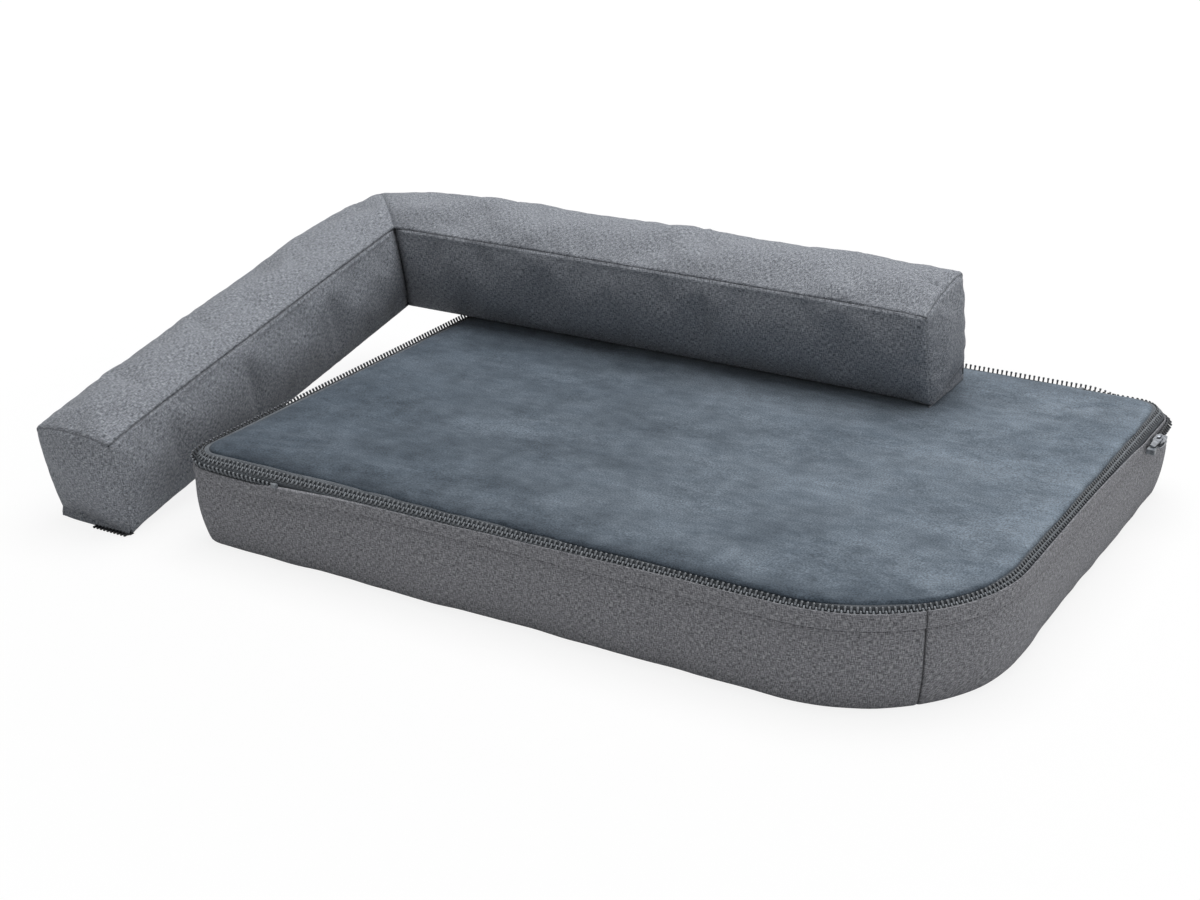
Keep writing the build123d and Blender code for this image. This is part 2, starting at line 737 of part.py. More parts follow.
with BuildLine() as long_rail:
    Line((row_reach, rail_height), (tape_corner + end_lap, rail_height))
with BuildLine() as short_rail:
    rail_end = short_arm_length - end_lap
    rail_start = tape_corner + end_lap
    Line((rail_end, row_end_height - rail_slope * end_lap), (rail_start, rail_height + rail_slope * end_lap))
with BuildLine() as end_rail:
    Line((end_row_right, end_row_y - end_tape_show), (end_row_left, end_row_y - end_tape_show))
bolster_rows = [
    bolster_place.location * teeth_row(long_side.offset(tape_middle), long_rail.wire()),
    bolster_place.location * teeth_row(short_side.offset(-tape_middle), short_rail.wire()),
    teeth_row(Plane.XY.offset(end_row_height), end_rail.wire()),
]
write(Compound(children=bolster_rows), "bolster_zip_bolster_teeth")

# Pin at the right end of the bolster's half, which goes down into the box when the bed is zipped together
with BuildPart() as bolster_zip_pin:
    with Locations(Location((row_reach, bolster_width - tape_middle, rail_height - pin_radius), (0, 90, 0))):
        Cylinder(pin_radius, pin_length, align=(Align.CENTER, Align.CENTER, Align.MIN))
write(bolster_place.location * bolster_zip_pin.part, "bolster_zip_pin")
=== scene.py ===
"""The dog bed's looks: fabric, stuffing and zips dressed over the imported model, in metres."""

import math

import bmesh
import bpy
import numpy as np
from mathutils import Matrix, Vector, noise
from mathutils.kdtree import KDTree

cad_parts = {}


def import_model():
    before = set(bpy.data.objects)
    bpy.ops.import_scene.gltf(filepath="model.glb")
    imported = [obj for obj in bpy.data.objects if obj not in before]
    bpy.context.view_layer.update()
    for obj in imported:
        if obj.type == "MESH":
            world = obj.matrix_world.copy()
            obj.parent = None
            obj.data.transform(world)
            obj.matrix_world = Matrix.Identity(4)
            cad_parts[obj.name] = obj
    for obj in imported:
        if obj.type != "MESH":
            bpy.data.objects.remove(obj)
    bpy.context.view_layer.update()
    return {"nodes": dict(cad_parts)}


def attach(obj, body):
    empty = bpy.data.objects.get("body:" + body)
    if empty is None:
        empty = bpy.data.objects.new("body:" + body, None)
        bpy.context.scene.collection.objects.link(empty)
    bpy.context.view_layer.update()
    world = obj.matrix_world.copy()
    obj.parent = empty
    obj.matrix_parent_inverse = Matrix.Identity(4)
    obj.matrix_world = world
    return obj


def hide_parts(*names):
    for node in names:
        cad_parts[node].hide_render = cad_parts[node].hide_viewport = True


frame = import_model()
MM = 0.001

# The mattress, as in the frame. Out and up are distances from the line that its zip follows.
half_width = 400 * MM
half_depth = 300 * MM
zip_height = 93 * MM
round_radius = 155 * MM
small_radius = 28 * MM
seam_out = -4.95 * MM
seam_up = 4.95 * MM
crown_height = 8.5 * MM
plush_drop = 3.2 * MM
plush_roll = 3.2 * MM
plush_thickness = 2.0 * MM
dip_in = 3.0 * MM
dip_down = 2.2 * MM
dip_width = 62 * MM
dip_rim = 8 * MM
lower_tape_out = 3.9 * MM
tape_bend_out = 4.7 * MM
lip_in = 5.5 * MM
lip_lean = lip_in + 0.1 * MM
lip_out = 7.9 * MM
lip_bottom = 14.0 * MM
lip_fold = 0.8 * MM
lip_height = 10.5 * MM
wall_out = 6.7 * MM
wall_bulge = 2.5 * MM
wall_tuck = 8.0 * MM
hem_radius = 5.0 * MM
foam_top = 96.2 * MM
foam_crown = 1.9 * MM
fabric_thickness = 1.2 * MM
tape_thickness = 0.8 * MM

# The zips
tooth_pitch = 4.6 * MM
open_pitch = 5.2 * MM
tooth_length = 5.0 * MM
tooth_thickness = 3.0 * MM
chain_half_width = 4.4 * MM
chain_slope = math.radians(45)
cord_radius = 0.85 * MM
cover_zip_start = (312 * MM, half_depth)
cover_zip_finish = (-250 * MM, half_depth)
row_start = (-286 * MM, -half_depth)
row_finish = (half_width, 200 * MM)
row_out = 6.6 * MM
hanging_out = 10.7 * MM
hanging_up = -11.0 * MM

# The bolster: an L in its own tilted frame, origin at the seam corner inside the L
bolster_width = 98 * MM
bolster_height = 106 * MM
side_width = 100 * MM
long_arm = 657 * MM
short_arm = 481 * MM
lifted_seam = 9 * MM
seam_corner = Vector((-461.5, 149.5, 101.8)) * MM
tilt = math.asin((101.8 - 0.4) * MM / short_arm)
bolster_place = Matrix.Translation(seam_corner) @ Matrix.Rotation(tilt, 4, "X")
top_bulge = 16 * MM
side_bulge = 12 * MM
base_tuck = 12 * MM
base_bulge = 2.5 * MM
seam_swell = 4 * MM
end_bulge = 5 * MM
swell_limit = 9 * MM
pinch_depth = 5 * MM
corner_droop = 13 * MM
stuffing_share = 0.84
skirt_height = 9 * MM
skirt_inset = 0.6 * MM
tape_inset = 1.6 * MM
rail_height = 13.4 * MM
rail_finish_height = 7.0 * MM
pin_room = 13.2 * MM
end_row_x = (-512.5 * MM, -464.4 * MM)
end_row_y = -326.2 * MM
end_row_z = 1.9 * MM


# Numbers
def mm(*values):
    """Lengths given in millimetres, as an array in metres."""
    return np.array(values) * MM


def smoothstep(x, low, high):
    """0 below low, 1 above high, and smooth between."""
    t = np.clip((x - low) / (high - low), 0, 1)
    return t * t * (3 - 2 * t)


def bell(x, width):
    """1 at zero, and smoothly down to 0 on both sides of it."""
    return np.exp(-((x / width) ** 2))


def falling(distance, reach):
    """1 at no distance, and fading out past a reach."""
    return np.exp(-distance / reach)


def soft_noise(points, scale, seed):
    """Smooth noise from about -1 to 1 at each point, with bumps of about the scale."""
    shift = Vector((seed * 7.3, seed * 3.1, seed * 5.7))
    flat = points.reshape(-1, 3) / scale
    values = np.array([noise.noise(Vector(p) + shift) for p in flat.tolist()])
    return values.reshape(points.shape[:-1])


def at_height(flat, height=0.0):
    """Points of a ground plan with a height each."""
    return np.concatenate([flat, np.broadcast_to(height, flat.shape[:-1])[..., None]], -1)


def on_circle(x, y, radius, degrees):
    """The point of a circle at an angle."""
    angle = math.radians(degrees)
    return x + radius * math.cos(angle), y + radius * math.sin(angle)


def ruled_grid(bottom, top, left, right, across, up):
    """Points of a patch between four border lines, at shares across and up."""
    u, v = across[None, :, None], up[:, None, None]
    ruled = (1 - v) * bottom[None] + v * top[None] + (1 - u) * left[:, None] + u * right[:, None]
    corners = (1 - v) * ((1 - u) * bottom[0] + u * bottom[-1]) + v * ((1 - u) * top[0] + u * top[-1])
    return ruled - corners


# Meshes
def add_object(name, data):
    """A new object in the scene."""
    made = bpy.data.objects.new(name, data)
    bpy.context.collection.objects.link(made)
    return made


def smooth_mesh(name, points, faces):
    """A smoothly shaded mesh."""
    mesh = bpy.data.meshes.new(name)
    mesh.from_pydata(points.reshape(-1, 3).tolist(), [], faces.tolist())
    mesh.shade_smooth()
    return mesh


def lengths(points, axis):
    """Distances along a grid of points, from its first row or column."""
    steps = np.linalg.norm(np.diff(points, axis=axis), axis=2)
    zero = np.zeros_like(np.take(steps, [0], axis))
    return np.concatenate([zero, np.cumsum(steps, axis)], axis)


def dress(piece, body, nodes, material):
    """Gives a piece its material in a new slot and its body, and hides the CAD nodes that it stands in for.
    """
    piece.data.materials.append(material)
    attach(piece, body)
    if nodes:
        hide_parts(*nodes)
    return piece


def grid_piece(name, points, body, nodes, material, closed=False):
    """A quad mesh through a rows x columns grid of points, with UVs in metres along and across the cloth."""
    rows, columns = points.shape[:2]
    r, c = np.meshgrid(np.arange(rows - 1), np.arange(columns if closed else columns - 1), indexing="ij")
    r, c = r.ravel(), c.ravel()
    here, beside = r * columns + c, r * columns + (c + 1) % columns
    mesh = smooth_mesh(name, points, np.stack([here, beside, beside + columns, here + columns], 1))
    across, along = lengths(points, 1), lengths(points, 0)
    if closed:
        across = np.concatenate([across, across[:, -1:] + across[:, 1:2] - across[:, :1]], 1)
        along = np.concatenate([along, along[:, :1]], 1)
    corners = [(r, c), (r, c + 1), (r + 1, c + 1), (r + 1, c)]
    uv = np.stack([np.stack([along[i, j], across[i, j]], 1) for i, j in corners], 1)
    mesh.uv_layers.new(name="cloth").data.foreach_set("uv", uv.reshape(-1))
    return dress(add_object(name, mesh), body, nodes, material)


def point_values(piece, name, values):
    """A number at every point of a piece, for its material."""
    data = piece.data.attributes.new(name, "FLOAT", "POINT").data
    data.foreach_set("value", np.ascontiguousarray(values, dtype=np.float32).ravel())


def thicken(piece, thickness, offset=-1.0):
    """Gives a cloth its thickness, on its inner side."""
    solid = piece.modifiers.new("thickness", "SOLIDIFY")
    solid.thickness = thickness
    solid.offset = offset


# The line that the cover's zip follows, clockwise seen from above, from the middle of the back edge
def zip_corners():
    """Centre, radius and start angle of each corner, in the order that the line meets them."""
    sx, sy = half_width - small_radius, half_depth - small_radius
    rx, ry = half_width - round_radius, half_depth - round_radius
    return [(sx, sy, small_radius, 90), (rx, -ry, round_radius, 0), (-sx, -sy, small_radius, -90),
            (-sx, sy, small_radius, 180)]


def zip_stretches():
    """Straight and round stretches: length, start point or centre, angle, and radius or None."""
    here, stretches = (0.0, half_depth), []
    for x, y, radius, start in zip_corners():
        first = on_circle(x, y, radius, start)
        stretches.append((math.dist(here, first), here, math.radians(start - 90), None))
        stretches.append((radius * math.pi / 2, (x, y), math.radians(start), radius))
        here = on_circle(x, y, radius, start - 90)
    stretches.append((math.dist(here, (0.0, half_depth)), here, 0.0, None))
    return stretches


stretches = zip_stretches()
perimeter = sum(stretch[0] for stretch in stretches)


def zip_line(run):
    """Points of the zip line and its outward directions at distances along it."""
    run = np.mod(np.asarray(run, float), perimeter)
    place, outward = np.zeros(run.shape + (2,)), np.zeros(run.shape + (2,))
    start = 0.0
    for length, origin, angle, radius in stretches:
        here = (run >= start) & (run <= start + length)
        along = run[here] - start
        if radius is None:
            place[here] = np.array(origin) + along[:, None] * (math.cos(angle), math.sin(angle))
            outward[here] = (-math.sin(angle), math.cos(angle))
        else:
            turn = angle - along / radius
            outward[here] = np.stack([np.cos(turn), np.sin(turn)], -1)
            place[here] = np.array(origin) + radius * outward[here]
        start += length
    return place, outward


def run_at(point):
    """Distance along the zip line of its point nearest to a given one."""
    runs = np.linspace(0, perimeter, 20001)
    return float(runs[np.argmin(np.linalg.norm(zip_line(runs)[0] - np.array(point), axis=1))])


def corner_middles():
    """Distances along the zip line of the middles of its corners, clockwise from the back right one."""
    start, middles = 0.0, []
    for length, _, _, radius in stretches:
        if radius is not None:
            middles.append(start + length / 2)
        start += length
    return middles


def along_edge(start, finish, step):
    """Evenly spaced distances along the zip line, clockwise from one to the other."""
    if finish <= start:
        finish += perimeter
    return np.linspace(start, finish, max(2, int(round((finish - start) / step)) + 1))


def edge_points(runs, out, up):
    """Grid of points beside the zip line: out and up are (runs, columns) arrays."""
    place, outward = zip_line(runs)
    return at_height(place[:, None, :] + out[..., None] * outward[:, None, :], zip_height + up)


def along_columns(profile, runs):
    """A profile of (out, up) points repeated for every run."""
    out, up = np.array(profile).T
    return np.tile(out, (len(runs), 1)), np.tile(up, (len(runs), 1))


# Materials
class Nodes:
    """The nodes of a material or a world, with short ways to add and join them."""

    def __init__(self, owner):
        owner.use_nodes = True
        self.owner = owner
        self.tree = owner.node_tree

    def put(self, value, socket):
        """Sets a socket to a value, or links another socket to it."""
        if isinstance(value, bpy.types.NodeSocket):
            self.tree.links.new(value, socket)
        else:
            socket.default_value = value

    def fill(self, node, values):
        """Puts values in a node's sockets and settings, by their names."""
        for name, value in values.items():
            if name in node.inputs:
                self.put(value, node.inputs[name])
            else:
                setattr(node, name, value)
        return node

    def add(self, kind, **values):
        """A new node with its values."""
        return self.fill(self.tree.nodes.new("ShaderNode" + kind), values)

    def surface(self, values):
        """Values of the material's own shader."""
        return self.fill(self.tree.nodes["Principled BSDF"], values)

    def object_place(self):
        """Coordinates in the object's frame, in metres."""
        return self.add("TexCoord").outputs["Object"]

    def cloth_place(self):
        """Coordinates along and across the cloth, in metres."""
        return self.add("UVMap", uv_map="cloth").outputs["UV"]

    def attribute(self, name):
        """A number that the mesh holds at its points."""
        return self.add("Attribute", attribute_name=name).outputs["Fac"]

    def scaled(self, source, scale):
        """Coordinates multiplied along each axis."""
        return self.add("Mapping", Vector=source, Scale=scale).outputs["Vector"]

    def streaks(self, source, scale, detail=2.0):
        """Noise stretched by a scale, from 0 to 1."""
        place = self.scaled(source, scale)
        return self.add("TexNoise", Vector=place, Scale=1.0, Detail=detail, Roughness=0.55).outputs["Fac"]

    def bands(self, source, scale, direction, **values):
        """Even bands across a direction, from 0 to 1."""
        place = self.scaled(source, (scale, scale, 1.0))
        wave = self.add("TexWave", Vector=place, Scale=1.0, bands_direction=direction, **values)
        return wave.outputs["Fac"]

    def ramp(self, value, stops):
        """A colour ramp over a value: stops are (position, colour)."""
        node = self.add("ValToRGB", Fac=value)
        elements = node.color_ramp.elements
        elements[0].position, elements[0].color = stops[0]
        elements[1].position, elements[1].color = stops[-1]
        for position, shade in stops[1:-1]:
            elements.new(position).color = shade
        return node.outputs["Color"]

    def combined(self, operation, first, second):
        """One step of arithmetic on sockets or numbers."""
        node = self.add("Math", operation=operation)
        self.put(first, node.inputs[0])
        self.put(second, node.inputs[1])
        return node.outputs["Value"]

    def mixed(self, factor, first, second, blend="MIX"):
        """Two colours mixed by a factor."""
        node = self.add("Mix", data_type="RGBA", blend_type=blend)
        for number, value in ((0, factor), (6, first), (7, second)):
            self.put(value, node.inputs[number])
        return node.outputs[2]

    def map_range(self, value, low, high, to_low=0.0, to_high=1.0):
        """A value carried from one range to another, and kept inside it."""
        limits = {"From Min": low, "From Max": high, "To Min": to_low, "To Max": to_high}
        return self.add("MapRange", Value=value, **limits).outputs["Result"]

    def bumped(self, height, strength, distance):
        """Sets the shader's normal from a height."""
        node = self.add("Bump", Height=height, Strength=strength, Distance=distance)
        self.surface({"Normal": node.outputs["Normal"]})


def new_material(name):
    """The nodes of a new material."""
    return Nodes(bpy.data.materials.new(name))


def colour(red, green, blue):
    """A colour written as it shows on a screen, from 11 to 255, for a shader."""
    return *(((c / 255 + 0.055) / 1.055) ** 2.4 for c in (red, green, blue)), 1.0


def grey(level):
    """A grey for a shader."""
    return level, level, level, 1.0


thread = 0.75 * MM
slub = 6 * thread
weave_scale = 0.16 / thread


def canvas_material(name, dark, middle, light):
    """Melange canvas: slubby threads both ways in mixed shades, with a fine plain weave, and painted shade
    where a mesh marks seam grooves, folds and shadowed edges.
    """
    nodes = new_material(name)
    cloth = nodes.cloth_place()
    warp = nodes.streaks(cloth, (1 / slub, 1 / thread, 1.0), 3.0)
    weft = nodes.streaks(cloth, (1 / thread, 1 / slub, 1.0), 3.0)
    threads = nodes.combined("MULTIPLY", nodes.combined("ADD", warp, weft), 0.5)
    shades = nodes.ramp(threads, [(0.40, dark), (0.5, middle), (0.60, light)])
    patches = nodes.streaks(cloth, (14.0, 14.0, 1.0), 3.0)
    tinted = nodes.mixed(nodes.combined("MULTIPLY", patches, 0.3), shades, middle)
    # Painted shade: a value held at each point of the mesh darkens the cloth towards near black in seam
    # grooves, folds and under overhanging edges.
    with_painted_seam_shade = nodes.mixed(nodes.attribute("painted_seam_shade"), tinted, colour(30, 31, 34))
    nodes.surface({"Base Color": with_painted_seam_shade, "Roughness": 0.88, "Specular IOR Level": 0.2, "Sheen Weight": 0.08})
    weave = nodes.combined("MULTIPLY", *(nodes.bands(cloth, weave_scale, direction) for direction in "XY"))
    nodes.bumped(nodes.combined("ADD", weave, threads), 0.55, 0.5 * MM)
    return nodes.owner


def plush_material():
    """Short brushed pile, softly mottled with a fine grain: painted shade makes it darker at the left and
    painted sheen lighter at the right.
    """
    nodes = new_material("plush")
    place = nodes.object_place()
    mottle = nodes.streaks(place, (8.0, 15.0, 8.0), 3.0)
    strokes = nodes.streaks(place, (55.0, 110.0, 55.0), 5.0)
    grain = nodes.streaks(place, (620.0, 620.0, 620.0), 3.0)
    both = nodes.combined("MULTIPLY", nodes.combined("ADD", mottle, strokes), 0.5)
    shade = nodes.ramp(both, [(0.37, colour(93, 104, 115)), (0.5, colour(107, 118, 129)),
                              (0.63, colour(120, 131, 142))])
    across = nodes.map_range(nodes.add("SeparateXYZ", Vector=place).outputs["X"], -half_width, half_width)
    # Painted shade and sheen across the mattress: darker towards the left and lighter towards the right.
    lie = [(0.0, (0.70, 0.73, 0.76, 1.0)), (0.5, grey(0.98)), (1.0, (1.34, 1.33, 1.32, 1.0))]
    # The mesh's nap values darken and lighten the pile: brushed patches, and painted shade and light near its
    # edges.
    brushed = [(0.0, (0.42, 0.44, 0.46, 1.0)), (0.5, grey(1.0)), (1.0, grey(1.4))]
    speckle = [(0.3, grey(0.46)), (0.7, grey(1.2))]
    for value, stops in ((grain, speckle), (across, lie), (nodes.attribute("nap_and_painted_shade"), brushed)):
        shade = nodes.mixed(1.0, shade, nodes.ramp(value, stops), "MULTIPLY")
    nodes.surface({"Base Color": shade, "Roughness": 0.95, "Specular IOR Level": 0.1, "Sheen Weight": 0.12,
                   "Sheen Roughness": 0.5})
    nodes.bumped(nodes.combined("ADD", nodes.combined("MULTIPLY", grain, 0.5), strokes), 0.45, 1.0 * MM)
    return nodes.owner


def tape_material(name, dark, light):
    """Narrow woven tape with ribs across it."""
    nodes = new_material(name)
    cloth = nodes.cloth_place()
    ribs = nodes.bands(cloth, 230.0, "X", Distortion=1.5, Detail=1.0)
    worn = nodes.combined("MULTIPLY", ribs, nodes.streaks(cloth, (60.0, 400.0, 1.0)))
    nodes.surface({"Base Color": nodes.ramp(worn, [(0.05, dark), (0.6, light)]), "Roughness": 0.8})
    nodes.bumped(ribs, 0.5, 0.3 * MM)
    return nodes.owner


def plastic_material(name, dark, light, painted_root_shade=None):
    """Moulded zip plastic, slightly glossy and scuffed. The last colour, when given, is painted shade: teeth
    take it at their roots and on their shaded faces, and their plastic colour where the mesh holds painted
    light.
    """
    nodes = new_material(name)
    scuff = nodes.streaks(nodes.object_place(), (320.0, 320.0, 320.0), 3.0)
    shades = nodes.ramp(scuff, [(0.35, dark), (0.65, light)])
    if painted_root_shade:
        shades = nodes.mixed(nodes.attribute("painted_lit_face"), painted_root_shade, shades)
    nodes.surface({"Base Color": shades, "Roughness": nodes.combined("MULTIPLY", scuff, 0.8),
                   "Specular IOR Level": 0.6})
    nodes.bumped(scuff, 0.15, 0.2 * MM)
    return nodes.owner


def metal_material():
    """Zip metal: grey nickel with fine scratches and duller patches."""
    nodes = new_material("zip_metal")
    place = nodes.object_place()
    patches = nodes.streaks(place, (260.0, 260.0, 260.0), 4.0)
    shades = nodes.ramp(patches, [(0.35, colour(118, 122, 128)), (0.65, colour(168, 172, 178))])
    roughness = nodes.combined("MULTIPLY", patches, 0.7)
    nodes.surface({"Base Color": shades, "Metallic": 1.0, "Roughness": roughness})
    nodes.bumped(nodes.streaks(place, (2200.0, 260.0, 900.0), 2.0), 0.12, 0.1 * MM)
    return nodes.owner


def inner_material(name, dark, light, size):
    """Foam or fibre: pale, with a cellular grain."""
    nodes = new_material(name)
    place = nodes.scaled(nodes.object_place(), (1 / size,) * 3)
    cells = nodes.add("TexVoronoi", Vector=place, Scale=1.0).outputs["Distance"]
    nodes.surface({"Base Color": nodes.ramp(cells, [(0.1, dark), (0.7, light)]), "Roughness": 0.95})
    nodes.bumped(cells, 0.6, size / 3)
    return nodes.owner


canvas = canvas_material("bolster_canvas", colour(76, 79, 86), colour(138, 142, 149), colour(190, 194, 201))
wall_canvas = canvas_material("wall_canvas", colour(74, 74, 78), colour(130, 131, 136), colour(180, 181, 185))
plush = plush_material()
tape = tape_material("zip_tape", colour(34, 37, 41), colour(104, 110, 116))
# A lighter copy of the zip tape: painted light on the strip of the cover's upper tape that shows beside the
# plush.
lit_tape_copy = tape_material("zip_tape_edge", colour(70, 76, 82), colour(136, 141, 147))
black_tape = tape_material("zip_tape_black", colour(22, 23, 25), colour(48, 50, 54))
plastic = plastic_material("zip_plastic", colour(98, 103, 109), colour(138, 144, 150))
# Painted shade for the teeth, at their roots and on their shaded faces.
tooth_painted_shade = colour(22, 24, 27)
tooth_plastic = plastic_material("zip_teeth", colour(108, 113, 119), colour(150, 156, 162), tooth_painted_shade)
black_plastic = plastic_material("zip_plastic_black", colour(24, 25, 28), colour(44, 46, 50))
metal = metal_material()
foam = inner_material("foam", colour(205, 198, 176), colour(236, 231, 214), 2.5 * MM)
fibre = inner_material("fibre", colour(215, 215, 211), colour(245, 245, 242), 7.0 * MM)


# Mattress top
def spacing(length, fine, coarse):
    """Shares from 0 to 1 along a length, close together near both ends."""
    middle = length - 2 * sum(fine)
    count = int(round(middle / coarse))
    return np.cumsum([0, *fine, *[middle / count] * count, *fine[::-1]]) / length


def depth_inside(flat, offset):
    """How far points lie inside the outline that is offset outwards from the zip line."""
    x, y = flat[..., 0], flat[..., 1]
    width, depth = half_width + offset, half_depth + offset
    radius = np.where((x > 0) & (y < 0), round_radius + offset, small_radius + offset)
    qx, qy = np.abs(x) - (width - radius), np.abs(y) - (depth - radius)
    outside = np.hypot(np.maximum(qx, 0), np.maximum(qy, 0))
    return radius - outside - np.minimum(np.maximum(qx, qy), 0)


def top_grid(offset, fine, coarse):
    """A grid of points over the mattress, whose border is the outline at an offset."""
    back_right, front_right, front_left, back_left = corner_middles()
    across = spacing(2 * half_width, fine, coarse)
    deep = spacing(2 * half_depth, fine, coarse)

    def side(start, finish, shares):
        if finish < start:
            finish += perimeter
        place, outward = zip_line(start + (finish - start) * shares)
        return place + offset * outward

    front, back = side(front_right, front_left, across)[::-1], side(back_left, back_right, across)
    left, right = side(front_left, back_left, deep), side(back_right, front_right, deep)[::-1]
    return ruled_grid(front, back, left, right, across, deep)


def dip_at(flat):
    """1 along the left and back edges, where the plush lies lower and further in, and 0 elsewhere."""
    left = smoothstep(-flat[..., 0], half_width - dip_width, half_width - dip_rim)
    back = smoothstep(flat[..., 1], half_depth - dip_width, half_depth - dip_rim)
    return 1 - (1 - left) * (1 - back)


# Long soft creases that start at the corners: x, y, direction in degrees, length and height
corner_creases = [
    (-385, -262, 12, 190, 1.1),
    (-388, -236, 4, 150, 0.8),
    (-372, -280, 18, 150, 0.8),
    (300, -240, 112, 170, 0.8),
    (340, -196, 126, 150, 0.9),
    (240, -276, 100, 120, 0.7),
    (372, 270, 214, 130, 0.7),
    (-372, 262, -34, 120, 0.6),
]


def creases(flat, inside):
    """Heights of the long soft creases, where the plush is drawn round the corners."""
    total = np.zeros_like(inside)
    for start_x, start_y, degrees, length, height in corner_creases:
        angle = math.radians(degrees)
        dx, dy = flat[..., 0] - start_x * MM, flat[..., 1] - start_y * MM
        along = dx * math.cos(angle) + dy * math.sin(angle)
        aside = -dx * math.sin(angle) + dy * math.cos(angle)
        bow = aside - 0.0006 * MM * (along / MM) ** 2
        fade = smoothstep(along, -12 * MM, 12 * MM) * (1 - smoothstep(along, length * MM * 0.4, length * MM))
        total += height * MM * fade * (bell(bow, 3.2 * MM) - 0.6 * bell(bow - 7 * MM, 5 * MM))
    return total * smoothstep(inside, 1 * MM, 8 * MM)


def mattress_top():
    """The plush panel: crowned, rolled under at its seam, puckered along it and softly rumpled."""
    flat = top_grid(seam_out, mm(0.6, 0.8, 1.2, 1.6, 2.2, 3), 4.5 * MM)
    inside = np.maximum(depth_inside(flat, seam_out), 0)
    middle = np.array([half_width - round_radius, half_depth - round_radius])
    outwards = flat - np.clip(flat, -middle, middle)
    outwards = outwards / np.maximum(np.linalg.norm(outwards, axis=2, keepdims=True), 1e-6)
    dip = dip_at(flat)
    spread = 0.7 + 1.3 * smoothstep(flat[..., 0], -0.2, 0.1) + 1.1 * soft_noise(at_height(flat), 38 * MM, 9)
    spill = spread * MM * falling(inside, 9 * MM)
    flat = flat + (spill * (1 - dip) - dip * dip_in * falling(inside, 12 * MM))[..., None] * outwards
    roll = np.sqrt(np.clip(1 - (1 - np.minimum(inside / plush_roll, 1)) ** 2, 0, 1))
    z = zip_height + seam_up - plush_drop / 2 + plush_drop * roll
    z = z + (crown_height - seam_up - plush_drop / 2) * (1 - falling(inside, 26 * MM))
    z = z - dip * dip_down * falling(inside, 16 * MM)
    place = at_height(flat)
    near = falling(inside, 16 * MM) * smoothstep(inside, 0, 4 * MM)
    puckers = soft_noise(place, 13 * MM, 1) * near * 1.5 * MM
    rumples = soft_noise(place * (1.0, 2.2, 1.0), 75 * MM, 2) * 0.9 * MM
    small = soft_noise(place * (1.0, 1.7, 1.0), 26 * MM, 3) * 0.35 * MM
    z = z + puckers + (rumples + small) * smoothstep(inside, 0, 20 * MM) + creases(flat, inside)
    z = np.minimum(z, zip_height + crown_height + 0.1 * MM)
    piece = grid_piece("plush_top", at_height(flat, z), "mattress", ["top_panel"], plush)
    # Brushed patches of the pile, with painted shade in the seam roll and along the front edge, painted light
    # along the right edge, and darker towards the front.
    rim = falling(inside, 15 * MM)
    front, right = np.clip(-outwards[..., 1], 0, 1), np.clip(outwards[..., 0], 0, 1)
    brushed = soft_noise(place * (1.0, 1.6, 1.0), 60 * MM, 11) * 0.2
    brushed = brushed + soft_noise(place * (1.5, 1.0, 1.0), 21 * MM, 12) * 0.16
    nap_and_painted_shade = 0.5 + brushed - rim * front * 0.5 + rim * right * (1 - front) * 0.25 - 0.4 * bell(inside, 2.2 * MM)
    point_values(piece, "nap_and_painted_shade", np.clip(nap_and_painted_shade - 0.08 * smoothstep(-flat[..., 1], 0.1, 0.28), 0, 1))
    thicken(piece, plush_thickness)


# Mattress wall, lip, base and foam
def wall_points(runs):
    """The wall's outside from the lip down to the hem, softly waved along its run."""
    downs = np.concatenate([np.linspace(lip_bottom - 1.0 * MM, zip_height - 16 * MM, 22),
                            zip_height - mm(13, 10, 7.5, 5.5, 3.8, 2.4, 1.2, 0.4, 0)])
    share = np.clip((downs - lip_bottom) / (zip_height - lip_bottom), 0, 1)
    out = wall_out + wall_bulge * np.sin(math.pi * share) ** 0.8 - wall_tuck * share ** 2.6
    curl = np.clip(1 - (zip_height - downs) / hem_radius, 0, 1)
    out = out - hem_radius * (1 - np.sqrt(np.clip(1 - curl ** 2, 0, 1)))
    place, _ = zip_line(runs)
    here = at_height(np.repeat(place[:, None], len(downs), 1), -downs)
    slow = soft_noise(here * (1.0, 1.0, 0.55), 90 * MM, 4) * 2.6 * MM
    quick = soft_noise(here * (1.0, 1.0, 0.5), 34 * MM, 5) * 1.2 * MM
    left = 1 - smoothstep(here[..., 0], -0.1, 0.3)
    hem_wave = soft_noise(here * (1.0, 1.0, 0.0), 52 * MM, 6) * (0.5 + 1.7 * left) * MM
    out = out + (slow + quick) * smoothstep(share, 0.02, 0.3) + hem_wave * smoothstep(share, 0.55, 0.95)
    return out, np.tile(-downs, (len(runs), 1))


def wall(name, node, start, finish):
    """One wall panel, ending at a sewn seam at both ends."""
    runs = along_edge(start, finish, 6 * MM)
    ends = mm(0.3, 0.8, 1.6, 3.0)
    runs = np.concatenate([[runs[0]], runs[0] + ends, runs[1:-1], runs[-1] - ends[::-1], [runs[-1]]])
    out, up = wall_points(runs)
    from_end = np.minimum(runs - runs[0], runs[-1] - runs)[:, None]
    out = out - bell(from_end, 1.4 * MM) * 1.3 * MM
    piece = grid_piece(name, edge_points(runs, out, up), "mattress", [node], wall_canvas)
    # Painted shade in the seam groove at both ends of the wall panel.
    point_values(piece, "painted_seam_shade", 0.85 * bell(from_end, 1.0 * MM) + 0 * out)
    thicken(piece, fabric_thickness, 1.0)


